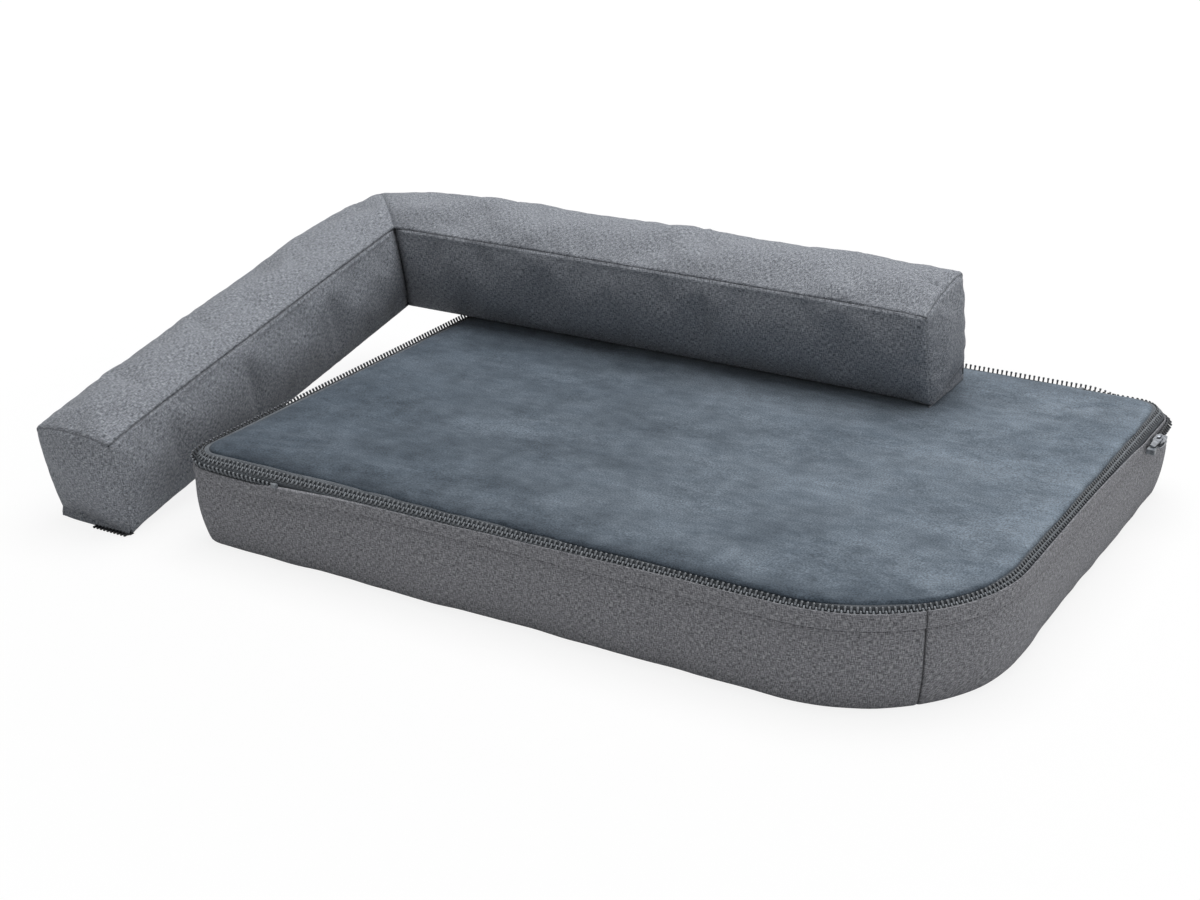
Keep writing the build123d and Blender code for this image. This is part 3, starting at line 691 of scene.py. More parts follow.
# Height of the lip's top, by a place along it and a distance past that: close under the closed chain, and
# lower where the open zip comes out
lip_knots = [
    (row_start, 0, -7.4),
    (row_start, 24, -10.2),
    ((-half_width, -half_depth + 40 * MM), 0, -7.4),
    ((-half_width + 40 * MM, half_depth), 0, -7.0),
    ((half_width, half_depth - 40 * MM), 0, -6.6),
    (row_finish, 0, -6.2),
    (row_finish, 40, -3.0),
    (row_finish, 150, 1.9),
    ((150 * MM, -half_depth), 0, 1.3),
    (row_start, -70, -3.7),
]

# The lip's outer side below its fold: how far it stands out, by its share of the way down
lip_side = [(0.5, 0.35), (0.75, 0.75), (0.7, 0.93), (0.45, 0.985), (-0.5, 1.0)]


def lip():
    """The folded lip that covers the zips' sewn edges, all the way round."""
    runs = along_edge(0.0, perimeter - 4 * MM, 4 * MM)
    seams = np.concatenate([seam + mm(-2, -1, -0.5, 0, 0.5, 1, 2) for seam in (round_seam, left_seam)])
    runs = np.unique(np.concatenate([runs, seams]))
    knots = [run_at(place) + past * MM for place, past, _ in lip_knots]
    top = np.interp(runs, knots, mm(*[up for _, _, up in lip_knots]), period=perimeter)[:, None]
    bottom = np.minimum(top - lip_height, -lip_bottom)
    outs, ups = [lip_lean], [-lip_bottom + 0 * top]
    for angle in np.linspace(0, math.pi, 7):
        outs.append(lip_lean + lip_fold - lip_fold * math.cos(angle))
        ups.append(top - lip_fold + lip_fold * math.sin(angle))
    for out, share in lip_side:
        outs.append(lip_lean + 2 * lip_fold + out * MM)
        ups.append(top + (bottom - top) * share)
    out, up = np.tile(outs, (len(runs), 1)), np.concatenate(ups, 1)
    here = at_height(zip_line(runs)[0])
    wave = soft_noise(here, 70 * MM, 7)[:, None]
    ripple = soft_noise(here, 19 * MM, 8)[:, None]
    droop = bell(here[:, :1] + 270 * MM, 70 * MM) * (here[:, 1:2] < 0)
    loose = 0.25 * MM + wave * 0.5 * MM + ripple * 0.25 * MM + droop * 3.0 * MM
    out = out + loose * (out > lip_lean + lip_fold)
    up = up + wave * 0.6 * MM + ripple * 0.25 * MM
    points = edge_points(runs, out, up)
    points = np.concatenate([points, points[:1]], 0)
    piece = grid_piece("folded_lip", points, "mattress", ["wall_lip"], wall_canvas,
                       closed=True)
    # Painted shade in the seam grooves where the lip meets its two seams.
    to_seam = np.minimum(np.abs(runs - round_seam), np.abs(runs - left_seam))
    dark = 0.85 * bell(np.append(to_seam, to_seam[0]), 0.9 * MM)
    point_values(piece, "painted_seam_shade", np.repeat(dark, points.shape[1]))


# The plush's own edge at the back: out, up, its share of the wave, and its painted shade, darker towards both
# of its edges where it meets the top and where it rolls down behind the lip
sewn_profile = [
    (-10, 1.4, 0, 0.1), (-8, 2.6, 0, 0.2), (-5, 3.0, 0.2, 0.45), (-2, 2.6, 0.5, 0.5), (0.8, 1.4, 0.6, 0.45),
    (2.8, -0.6, 0.5, 0.4), (4.1, -3.4, 0.2, 0.3), (4.7, -6.6, 0, 0.2), (4.8, -12.5, 0, 0.1),
]


def sewn_edge():
    """The plush's own edge at the back, where no zip runs: it rolls over the foam and down behind the lip."""
    runs = along_edge(run_at(cover_zip_finish), run_at(cover_zip_start), 5 * MM)
    outs, ups, wave_shares, painted_edge_shade = np.array(sewn_profile).T
    out, up = along_columns(np.stack([outs, ups], 1) * MM, runs)
    wave = soft_noise(at_height(zip_line(runs)[0]), 24 * MM, 13)[:, None] * wave_shares * MM
    points = edge_points(runs, out + wave * 0.5, up + wave)
    piece = grid_piece("plush_sewn_edge", points, "mattress", [], plush)
    point_values(piece, "nap_and_painted_shade", np.tile(painted_edge_shade, len(runs)))


def base():
    """The flat fabric under the mattress."""
    points = at_height(top_grid(wall_out - wall_tuck - hem_radius, mm(2, 4), 12 * MM))
    piece = grid_piece("base_cloth", points[:, ::-1], "mattress", ["base_panel"], wall_canvas)
    thicken(piece, fabric_thickness)


def foam_block():
    """The foam inside the cover: a flat block with eased edges and a low crown."""
    side, bottom, top_out = lower_tape_out - 0.5 * MM, 1.6 * MM, seam_out - 7 * MM
    profile = [(side - 18 * MM, bottom), (side - 12 * MM, bottom + 2 * MM), (side - 8 * MM, bottom + 10 * MM),
               (side, 44 * MM), (side, 80 * MM), (seam_out - 3.6 * MM, foam_top - 1.6 * MM),
               (top_out, foam_top)]
    runs = along_edge(0.0, perimeter - 10 * MM, 10 * MM)
    out, height = along_columns(profile, runs)
    points = edge_points(runs, out, height - zip_height)
    points = np.concatenate([points, points[:1]], 0)
    piece = grid_piece("foam_block", points, "mattress", ["foam_core"], foam)
    cap = top_grid(top_out, mm(3), 14 * MM)
    inside = np.maximum(depth_inside(cap, top_out), 0)
    cap = at_height(cap, foam_top + foam_crown * (1 - falling(inside, 30 * MM)))
    grid_piece("foam_block_top", cap, "mattress", [], foam)


round_seam = run_at(on_circle(half_width - round_radius, -half_depth + round_radius, round_radius, -45))
left_seam = run_at((-half_width + small_radius, half_depth))
mattress_top()
wall("front_wall", "front_wall_panel", round_seam, left_seam)
wall("back_wall", "back_wall_panel", left_seam, round_seam)
lip()
sewn_edge()
base()
foam_block()


# Zips
def tooth_sections(length, neck, tip, thickness):
    """Cross-sections of one tooth from its tape outwards: (out, half width, half thickness)."""
    return [
        (-1.7 * MM, neck * 0.30, thickness * 0.36),
        (-1.4 * MM, neck * 0.62, thickness * 0.50),
        (0.2 * MM, neck * 0.62, thickness * 0.52),
        (1.0 * MM, neck * 0.50, thickness * 0.47),
        (length * 0.62, neck * 0.50, thickness * 0.45),
        (length * 0.74, tip * 0.50, thickness * 0.43),
        (length * 0.93, tip * 0.48, thickness * 0.40),
        (length, tip * 0.30, thickness * 0.28),
    ]


chain_tooth = tooth_sections(3.9 * MM, 2.0 * MM, 1.9 * MM, 2.3 * MM)
open_tooth = tooth_sections(tooth_length + 0.9 * MM, 1.6 * MM, 2.2 * MM, 2.3 * MM)
bolster_tooth = tooth_sections(tooth_length, 1.7 * MM, 2.5 * MM, tooth_thickness)
end_tooth = tooth_sections(tooth_length, 1.7 * MM, 2.5 * MM, 2.6 * MM)

# The outline of a tooth's cross-section, in its half widths and half thicknesses
tooth_ring = [(-1, -0.55), (-0.7, -1), (0.7, -1), (1, -0.55), (1, 0.55), (0.7, 1), (-0.7, 1), (-1, 0.55)]


def tooth_faces(section_count):
    """The faces of one tooth: its sides from section to section, and its tip."""
    count, faces = len(tooth_ring), []
    for first in range(0, (section_count - 1) * count, count):
        for j in range(count):
            k = (j + 1) % count
            faces.append((first + j, first + k, first + count + k, first + count + j))
    tip = (section_count - 1) * count
    return np.array(faces + [(tip, tip + 1, tip + 2, tip + 3), (tip, tip + 3, tip + 4, tip + 7),
                             (tip + 7, tip + 4, tip + 5, tip + 6)])


def teeth_object(name, places, headings, outs, ups, body, node, sections, material=tooth_plastic, face=1):
    """A row of teeth in one mesh, from their places, their directions and which face takes the painted light.
    """
    local = np.array([(w * a, out, t * b) for out, w, t in sections for a, b in tooth_ring])
    points = (places[:, None] + local[None, :, 0:1] * headings[:, None] + local[None, :, 1:2] * outs[:, None]
              + local[None, :, 2:3] * ups[:, None])
    faces = tooth_faces(len(sections))[None] + (np.arange(len(places)) * len(local))[:, None, None]
    piece = add_object(name, smooth_mesh(name, points, faces.reshape(-1, 4)))
    # Painted light and shade: each tooth is lighter on one face and at its tip, and darker at its root and on
    # its other face.
    outer = np.clip(local[:, 1] / sections[-1][0], 0, 1)
    painted_lit_face = smoothstep(face * local[:, 2] / sections[1][2], -0.2, 0.9) * (0.45 + 0.55 * outer)
    point_values(piece, "painted_lit_face", np.tile(np.maximum(painted_lit_face, 0.8 * smoothstep(outer, 0.8, 1)), len(places)))
    dress(piece, body, [node] if node else [], material)


def edge_frames(runs, out, up, tilt_angle):
    """Places and directions for teeth beside the zip line, tilted up from level by an angle."""
    place, outward = zip_line(runs)
    level = at_height(outward)
    heading = at_height(np.stack([outward[:, 1], -outward[:, 0]], 1))
    rise = np.array([0.0, 0.0, 1.0])
    cos, sin = np.cos(tilt_angle)[:, None], np.sin(tilt_angle)[:, None]
    places = at_height(place + np.broadcast_to(out, runs.shape)[:, None] * outward, zip_height + up)
    return places, heading, level * cos + rise * sin, rise * cos - level * sin


def chain_tapes():
    """Profiles of the closed zip's two tapes, from under the chain to their sewn edges."""
    x, z = -1.3 * MM * math.sin(chain_slope), -1.3 * MM * math.cos(chain_slope)
    wide, bend = (chain_half_width - 1.2 * MM) * 0.707, chain_half_width * 0.72
    upper = [(x + 0.4 * MM, z - 0.4 * MM), (-wide + x / 2, wide + z / 2), (-bend, bend), (seam_out, seam_up),
             (seam_out - 1.5 * MM, seam_up + 0.2 * MM)]
    lower = [(x - 0.4 * MM, z + 0.4 * MM), (wide + x / 2, -wide + z / 2),
             (tape_bend_out - 0.5 * MM, -tape_bend_out + 0.9 * MM),
             (tape_bend_out - 0.1 * MM, -tape_bend_out - 0.6 * MM), (tape_bend_out - 0.1 * MM, -lip_bottom)]
    return {"upper": upper, "lower": lower}


def closed_zip():
    """The cover's closed zip: two tapes and two rows of teeth that mesh."""
    start, finish = run_at(cover_zip_start), run_at(cover_zip_finish)
    count = int((finish - start) % perimeter / open_pitch)
    reach = chain_half_width - 1.5 * MM
    for side, row, angle in ((-1, "upper", -chain_slope), (1, "lower", math.pi - chain_slope)):
        runs = start + (np.arange(count) + 0.5 + 0.25 * side) * open_pitch
        out, up = side * reach * math.cos(chain_slope), -side * reach * math.sin(chain_slope)
        frames = edge_frames(runs, out, up, np.full(count, angle))
        teeth_object(f"cover_teeth_{row}", *frames, "mattress", f"cover_zip_{row}_teeth", chain_tooth,
                     face=-side)
    runs = along_edge(start, finish, 5 * MM)
    for row, profile in chain_tapes().items():
        out, up = along_columns(profile, runs)
        if row == "upper":
            dip = dip_at(zip_line(runs)[0])[:, None] * np.array([[0, 0, 0.25, 1, 1]])
            out, up = out - dip * dip_in, up - dip * dip_down
        piece = grid_piece(f"cover_tape_{row}", edge_points(runs, out, up), "mattress",
                           [f"cover_zip_{row}_tape"], tape)
        # Painted light and shade on one tape: its strip beside the plush takes the lighter copy, and the part
        # under the chain keeps the darker tape.
        if row == "upper":
            piece.data.materials.append(lit_tape_copy)
            for face in piece.data.polygons:
                face.material_index = int(face.index % 4 > 1)
        thicken(piece, tape_thickness, 0.0)


# The open row on the mattress: a place along the zip line, how far out and up the row's corded edge runs
# there, and how many degrees its teeth are turned up from level
open_row_knots = [
    (row_start, row_out, -9.0 * MM, 66),
    ((-half_width, -half_depth + 30 * MM), row_out, -5.5 * MM, 60),
    ((-half_width, half_depth - 30 * MM), row_out, -0.6 * MM, 60),
    ((-half_width + 30 * MM, half_depth), row_out, -1.4 * MM, 34),
    ((-230 * MM, half_depth), row_out, -1.4 * MM, 34),
    ((-170 * MM, half_depth), row_out, -0.9 * MM, 67),
    ((318 * MM, half_depth), row_out, -1.2 * MM, 74),
    ((366 * MM, half_depth), 7.6 * MM, -8.0 * MM, -25),
    ((half_width, 236 * MM), hanging_out, hanging_up, -50),
    (row_finish, hanging_out, hanging_up, 0),
]


def open_row(runs):
    """Where the open row's corded edge runs, and how far its teeth are turned up from level."""
    start = run_at(row_start)
    here = np.mod(runs - start, perimeter)
    places, outs, ups, tilts = zip(*open_row_knots)
    knots = [(run_at(place) - start) % perimeter for place in places]
    fine = np.linspace(0, knots[-1], 900)
    window = np.hanning(17) / np.hanning(17).sum()
    values = []
    for knot_values in (outs, ups, np.radians(tilts)):
        even = np.interp(fine, knots, knot_values)
        eased = np.convolve(np.pad(even, 8, mode="edge"), window, mode="valid")
        values.append(np.interp(here, fine, eased))
    return values


def open_zip_on_mattress():
    """The mattress's half of the bolster zip: it leaves the lip, wraps three corners and ends hanging."""
    start, finish = run_at(row_start), run_at(row_finish)
    count = int((finish - start) % perimeter / open_pitch)
    runs = start + (np.arange(count) + 0.5) * open_pitch
    teeth_object("mattress_open_teeth", *edge_frames(runs, *open_row(runs)), "mattress",
                 "bolster_zip_mattress_teeth", open_tooth, face=-1)
    fine = along_edge(start, finish - 0.5 * tooth_pitch, 3.5 * MM)
    out, up, angle = open_row(fine)
    rooted = 1 - smoothstep(out, 7 * MM, 10 * MM)
    root_out = lip_in + 0.2 * MM + (1 - rooted) * 2.6 * MM
    root_up = (1 - rooted) * (up - 6 * MM) - rooted * lip_bottom
    bend_out = (lip_in + 0.4 * MM) * rooted + (lip_out + 0.9 * MM) * (1 - rooted)
    bend_up = up - 1.6 * MM
    edge_out, edge_up = out - 0.5 * MM * np.cos(angle), up - 0.5 * MM * np.sin(angle)
    side_out = np.stack([root_out, bend_out, (bend_out + edge_out) / 2, edge_out], 1)
    side_up = np.stack([root_up, bend_up, bend_up * 0.4 + edge_up * 0.6, edge_up], 1)
    piece = grid_piece("mattress_open_tape", edge_points(fine, side_out, side_up), "mattress",
                       ["bolster_zip_mattress_tape"], tape)
    thicken(piece, tape_thickness, 0.0)
    turns = np.linspace(0, 2 * math.pi, 8, endpoint=False)
    cord_out, cord_up = out[:, None] + cord_radius * np.cos(turns), up[:, None] + cord_radius * np.sin(turns)
    grid_piece("mattress_open_cord", edge_points(fine, cord_out, cord_up), "mattress", [], tape,
               closed=True)


closed_zip()
open_zip_on_mattress()


# Bolster: two arms of four side panels and an end panel, all in the bolster's own frame
side_names = ("base", "outer", "top", "inner")
arms = {"long": (long_arm, 0.0), "short": (short_arm, lifted_seam)}
coarse_shares = np.linspace(0, 1, 15)

# Shares of an arm's length from its mitre, with how full the arm is there and how far its base sags
fullness_along = ((0, 0.3, 0.6, 0.86, 0.96, 1), (0.9, 1, 1, 0.88, 0.66, 0.3))
sag_along = ((0, 0.6, 0.86, 0.96, 1), (1, 1, 0.8, 0.4, 0.1))


def in_bolster(arm, along, across, up):
    """Points of an arm, from its own directions to the bolster's frame."""
    if arm == "long":
        return np.stack([along, across, up], -1)
    return np.stack([-across, -along, up], -1)


def arm_ring(along, length, lift_full, shares):
    """Points round an arm's section, in its own (across, up) plane, at a distance from the mitre."""
    share = np.clip(along / length, 0, 1)
    fullness, sag = np.interp(share, *fullness_along), np.interp(share, *sag_along)
    lift = lift_full * share
    top = bolster_height + seam_swell * fullness
    tuck = base_tuck * (0.4 + 0.6 * fullness)
    corners = np.array([(tuck, 0), (bolster_width, lift), (bolster_width, top), (0, top)])
    bulges = (base_bulge * sag, side_bulge * fullness, top_bulge * fullness, side_bulge * fullness)
    ring = []
    for i, bulge in enumerate(bulges):
        first, second = corners[i], corners[(i + 1) % 4]
        along_side = second - first
        normal = np.array((along_side[1], -along_side[0])) / np.linalg.norm(along_side)
        hump = bulge * (1 - np.abs(2 * shares - 1) ** 2.3)
        ring.append(first + shares[:, None] * along_side + hump[:, None] * normal)
    return ring


def arm_grids(arm, rows, shares, shorter=0.0):
    """Grids of points for the four sides of an arm, from its end to the mitre."""
    full_length, lift = arms[arm]
    length = full_length - shorter
    sides = [[], [], [], []]
    for row in rows:
        along = length * (1 - row)
        for side, points in zip(sides, arm_ring(along, length, lift, shares)):
            side.append(in_bolster(arm, along - points[:, 0] * row, points[:, 0], points[:, 1]))
    return [np.array(side) for side in sides]


def cap_grid(arm, shares):
    """The grid of points over an arm's end, pushed out a little, with the last section as its border."""
    length, lift = arms[arm]
    bottom, outer, top, inner = arm_ring(length, length, lift, shares)
    flat = ruled_grid(bottom, top[::-1], inner[::-1], outer, shares, shares)
    bow = 1 - (2 * shares - 1) ** 4
    reach = length + end_bulge * (bow[None] * bow[:, None]) ** 0.7
    return in_bolster(arm, reach, flat[..., 0], flat[..., 1])


def turned(directions):
    """Directions of the bolster's own frame, in the row frame."""
    return directions @ np.array(bolster_place)[:3, :3].T


def placed(points):
    """Points of the bolster's own frame, in the row frame."""
    return turned(points) + np.array(bolster_place)[:3, 3]


def coarse_rows(arm):
    """Even shares of an arm's length for the cloth, about 7 mm apart."""
    return np.linspace(0, 1, int(arms[arm][0] / (7 * MM)) + 1)


# Swelling
cloth_settings = {
    "quality": 6,
    "mass": 0.3,
    "tension_stiffness": 18,
    "compression_stiffness": 12,
    "shear_stiffness": 6,
    "bending_stiffness": 1.5,
    "use_pressure": True,
    "uniform_pressure_force": 3,
    "vertex_group_mass": "seams",
    "vertex_group_shrink": "firm",
    "shrink_min": -0.028,
    "shrink_max": -0.015,
}
swelling_frames = 22


def welded(points):
    """The points that are left where panels meet, and each point's number among them."""
    tree = KDTree(len(points))
    for i, point in enumerate(points.tolist()):
        tree.insert(point, i)
    tree.balance()
    same = [min(found[1] for found in tree.find_range(point, 0.05 * MM)) for point in points.tolist()]
    return np.unique(same, return_inverse=True)


def welded_faces(grids, index):
    """The faces of the welded panels, and the points on their seams and bases."""
    faces, pinned, start = [], [], 0
    for number, grid in enumerate(grids):
        rows, columns = grid.shape[:2]
        places = index[start:start + rows * columns].reshape(rows, columns)
        corners = (places[:-1, :-1], places[:-1, 1:], places[1:, 1:], places[1:, :-1])
        faces += np.stack(corners, 2).reshape(-1, 4).tolist()
        pinned += [places[0], places[-1], places[:, 0], places[:, -1]]
        if number % 5 == side_names.index("base"):
            pinned.append(places.ravel())
        start += rows * columns
    return faces, np.unique(np.concatenate(pinned))


def swelling_shell(place, faces, pinned):
    """The welded panels as one cloth that pressure swells, held at its seams and bases."""
    mesh = bpy.data.meshes.new("swelling")
    mesh.from_pydata(place.tolist(), [], faces)
    work = bmesh.new()
    work.from_mesh(mesh)
    bmesh.ops.recalc_face_normals(work, faces=work.faces)
    work.to_mesh(mesh)
    work.free()
    shell = add_object("swelling", mesh)
    shell.vertex_groups.new(name="seams").add([int(i) for i in pinned], 1.0, "REPLACE")
    firm = shell.vertex_groups.new(name="firm")
    to_end = np.minimum(np.abs(long_arm - place[:, 0]), np.abs(short_arm + place[:, 1]))
    for i, weight in enumerate(smoothstep(to_end, 10 * MM, 110 * MM).tolist()):
        firm.add([i], weight, "REPLACE")
    cloth = shell.modifiers.new("cloth", "CLOTH")
    for name, value in cloth_settings.items():
        setattr(cloth.settings, name, value)
    cloth.settings.effector_weights.gravity = 0
    cloth.collision_settings.use_collision = False
    return shell


def swollen():
    """Swells the whole bolster as cloth under pressure, and gives how far each grid's points moved."""
    grids = []
    for arm in arms:
        grids += arm_grids(arm, coarse_rows(arm), coarse_shares) + [cap_grid(arm, coarse_shares)]
    points = np.concatenate([grid.reshape(-1, 3) for grid in grids])
    kept, index = welded(points)
    place = points[kept]
    shell = swelling_shell(place, *welded_faces(grids, index))
    for number in range(1, swelling_frames + 1):
        bpy.context.scene.frame_set(number)
    shape = shell.evaluated_get(bpy.context.evaluated_depsgraph_get()).data
    moved = np.empty(len(shape.vertices) * 3)
    shape.vertices.foreach_get("co", moved)
    moved = moved.reshape(-1, 3) - place
    size = np.linalg.norm(moved, axis=1, keepdims=True)
    moved = moved * np.minimum(1, swell_limit / np.maximum(size, 1e-9))
    bpy.data.objects.remove(shell)
    bpy.context.scene.frame_set(1)
    counts = [grid.shape[0] * grid.shape[1] for grid in grids]
    parts = np.split(moved[index], np.cumsum(counts)[:-1])
    return [part.reshape(grid.shape) for part, grid in zip(parts, grids)]


def read_between(values, old, new):
    """Values along the first axis of a grid at some shares, read at other shares."""
    place = np.clip(np.searchsorted(old, new) - 1, 0, len(old) - 2)
    part = ((new - old[place]) / (old[place + 1] - old[place])).reshape((-1,) + (1,) * (values.ndim - 1))
    return values[place] * (1 - part) + values[place + 1] * part


# Finished panels
def seam_shares(length, coarse):
    """Shares along a length, close together near the seams at both of its ends."""
    near = mm(0.0, 0.5, 1.0, 1.7, 2.6, 3.6, 5.0, 7.0, 9.5, 12.5) / length
    inner = np.linspace(near[-1], 1 - near[-1], int((length - 25 * MM) / coarse) + 1)
    return np.concatenate([near[:-1], inner, 1 - near[::-1][1:]])


def end_rows(length):
    """Shares along an arm: close together near its end seam and mitre, and fine where the end folds are."""
    near = mm(0.0, 0.5, 1.0, 1.7, 2.6, 3.6, 5.0)
    folds = np.arange(7.5 * MM, 50 * MM, 2.6 * MM)
    rest = np.linspace(52 * MM, length - 6 * MM, int((length - 58 * MM) / (6 * MM)))
    return np.concatenate([near, folds, rest, length - near[::-1]]) / length


def grid_normals(points, core):
    """Unit normals of a grid of points, turned away from the arm's core."""
    down, right = np.gradient(points, axis=0), np.gradient(points, axis=1)
    normal = np.cross(right, down)
    normal /= np.maximum(np.linalg.norm(normal, axis=2, keepdims=True), 1e-9)
    return normal * np.sign(np.sum(normal * (points - core), axis=2).mean())


def core_line(grid, arm):
    """The middle of the arm beside each point."""
    core = grid.copy()
    core[..., 1 if arm == "long" else 0] = bolster_width / 2 * (1 if arm == "long" else -1)
    core[..., 2] = bolster_height / 2
    return core


def seam_line(distance, depth, ridge):
    """Height beside a seam: a narrow groove, and a low ridge where its turned edges lie under the cloth."""
    return ridge * bell(distance - 2.8 * MM, 1.4 * MM) - depth * bell(distance, 0.9 * MM)


# Short folds that run in from the end seams: place across the top, length, height and slant
top_folds = {
    "short": ((56, 30, 1.3, 0.10), (64, 40, 1.9, 0.16), (72, 24, 1.5, 0.05), (30, 18, 0.6, 0.0)),
    "long": ((12, 18, 1.0, 0.1), (22, 26, 1.2, 0.0), (31, 20, 1.1, -0.1), (43, 28, 1.3, 0.1),
             (56, 18, 0.9, 0.0), (72, 16, 0.7, 0.0)),
}

# Folds round the lower inner corner of the end panels: distance from the corner and height
cap_folds = ((20, 1.1), (30, 0.9), (41, 0.6))


def fold_heights(arm, across, from_end):
    """Heights of the short folds on top, beside an arm's end seam."""
    total = np.zeros_like(from_end)
    for place, reach, height, slant in top_folds[arm]:
        aside = across - place * MM - slant * from_end
        fade = bell(from_end, reach * MM) * smoothstep(from_end, 0, 3 * MM)
        total += height * MM * fade * (bell(aside, 2.4 * MM) - bell(aside - 4.6 * MM, 2.2 * MM))
    return total


def drooped(points):
    """Lets the bolster's outer corner sag and draw in, where two arms of stuffing meet and leave it slack."""
    from_corner = np.hypot(points[..., 0] + bolster_width, points[..., 1] - bolster_width)
    slack = bell(from_corner, 70 * MM)[..., None] * np.clip(points[..., 2:] / bolster_height, 0, 1)
    return points - slack * corner_droop * np.array((-0.6, 0.6, 1.0))


def finished_side(grid, arm, side, shares):
    """A side with its seams, folds, puckers and dents, and the shade painted into its seam grooves and the
    pinch at the mitre.
    """
    low, high = shares[None] * side_width, (1 - shares[None]) * side_width
    from_end = np.linalg.norm(grid - grid[:1], axis=2)
    to_mitre = np.linalg.norm(grid - grid[-1:], axis=2)
    edge = np.minimum(low, high)
    seam = np.minimum(edge, np.minimum(from_end, to_mitre))
    height = seam_line(seam, 1.5 * MM, 0.0)
    if side in ("inner", "outer"):
        height = height + seam_line(low if side == "inner" else high, 0.0, 0.6 * MM)
    if side == "top":
        height = height + seam_line(from_end, 0.0, 0.6 * MM) + fold_heights(arm, low, from_end)
    seed = side_names.index(side) + (5 if arm == "short" else 0)
    along = np.array((1.0, 0.3, 0.3)) if arm == "long" else np.array((0.3, 1.0, 0.3))
    across = np.array((0.25, 1.0, 1.0)) if arm == "long" else np.array((1.0, 0.25, 1.0))
    near = falling(edge, 12 * MM) * smoothstep(edge, 0, 3 * MM)
    near_end = falling(from_end, 24 * MM) * smoothstep(from_end, 0, 3 * MM)
    pucker = 0.5 * MM if side == "inner" else 0.25 * MM
    height = height + soft_noise(grid * along, 16 * MM, 20 + seed) * near * pucker
    height = height + soft_noise(grid * across, 15 * MM, 30 + seed) * near_end * 0.9 * MM
    calm = smoothstep(seam, 0, 25 * MM) * (0.3 if side == "base" else 1.0)
    dents = soft_noise(grid, 95 * MM, 40 + seed) * 2.0 * MM + soft_noise(grid, 40 * MM, 50 + seed) * 0.5 * MM
    height = height + dents * calm
    pinch = bell(to_mitre, 9 * MM) * (side == "inner")
    # Painted shade: darker in the seam grooves at the end and at the mitre, in the pinch of the inner side at
    # the mitre, and along the seam at the arm's inner top edge.
    dark = 0.25 * bell(from_end, 0.8 * MM) + 0.6 * bell(to_mitre, 1.1 * MM)
    dark = dark + 0.9 * pinch ** 2 * (1 - 0.5 * low / side_width)
    if side in ("inner", "top"):
        width = 1.3 * MM if arm == "short" else 0.9 * MM
        dark = dark + 0.95 * bell(low if side == "inner" else high, width)
    points = grid + grid_normals(grid, core_line(grid, arm)) * height[..., None]
    points = points + pinch[..., None] * pinch_depth * np.array((-1.0, 1.0, 0.0))
    return drooped(points), np.minimum(dark, 0.95)


def finished_cap(grid, arm, shares):
    """An end panel with its seams and small folds, and the shade painted into the seam grooves at its sides.
    """
    across, up = shares[None] * side_width, shares[:, None] * side_width
    from_top, upright = side_width - up, np.minimum(across, side_width - across)
    seam = np.minimum(np.minimum(up, from_top), upright)
    height = seam_line(seam, 1.3 * MM, 0.0) + seam_line(from_top, 0.0, 0.5 * MM)
    dents = soft_noise(grid, 46 * MM, 60) * 2.0 * MM + soft_noise(grid, 20 * MM, 61) * 0.8 * MM
    height = height + dents * smoothstep(seam, 0, 16 * MM)
    from_corner = np.hypot(across, up)
    for radius, rise in cap_folds:
        fold = rise * MM * bell(from_corner - radius * MM, 2.6 * MM)
        height = height + fold * smoothstep(seam, 2 * MM, 9 * MM) * (1.0 if arm == "long" else 0.5)
    # Painted shade in the seam grooves at both sides of the end panel, darker towards its top.
    dark = (0.2 + 0.6 * smoothstep(up, 0.88 * side_width, side_width)) * bell(upright, 0.8 * MM)
    return grid + in_bolster(arm, height, 0 * height, 0 * height), dark + 0 * height


def cloth_panel(arm, side, points, dark):
    """One sewn panel of the bolster, with its thickness and the shade painted into its seams and creases."""
    if arm == "short":
        points, dark = points[:, ::-1], dark[:, ::-1]
    piece = grid_piece(f"{arm}_arm_{side}_cloth", placed(points), "bolster", [f"{arm}_arm_{side}_panel"],
                       canvas)
    point_values(piece, "painted_seam_shade", dark)
    thicken(piece, fabric_thickness)


def arm_panels(arm, offsets):
    """The five panels of one arm."""
    rows, shares = end_rows(arms[arm][0]), seam_shares(side_width, 2.9 * MM)
    grids = arm_grids(arm, rows, shares)
    for side, grid, offset in zip(side_names, grids, offsets):
        offset = read_between(offset, coarse_rows(arm), rows)
        offset = read_between(offset.swapaxes(0, 1), coarse_shares, shares).swapaxes(0, 1)
        cloth_panel(arm, side, *finished_side(grid + offset, arm, side, shares))
    offset = read_between(offsets[4], coarse_shares, shares).swapaxes(0, 1)
    offset = read_between(offset, coarse_shares, shares).swapaxes(0, 1)
    cloth_panel(arm, "end", *finished_cap(cap_grid(arm, shares) + offset, arm, shares))


def stuffing(arm):
    """The stuffing of one arm, a little inside its panels."""
    grids = arm_grids(arm, np.linspace(0, 1, 30), np.linspace(0, 1, 9), 4 * MM)
    points = np.concatenate([grid[:, :-1] for grid in grids], 1)
    core = core_line(points, arm)
    points = placed(drooped(core + (points - core) * stuffing_share))
    piece = grid_piece(f"{arm}_arm_stuffing", points, "bolster", [f"{arm}_arm_filling"], fibre,
                       closed=True)


offsets = swollen()
arm_panels("long", offsets[:5])
arm_panels("short", offsets[5:])
stuffing("long")
stuffing("short")


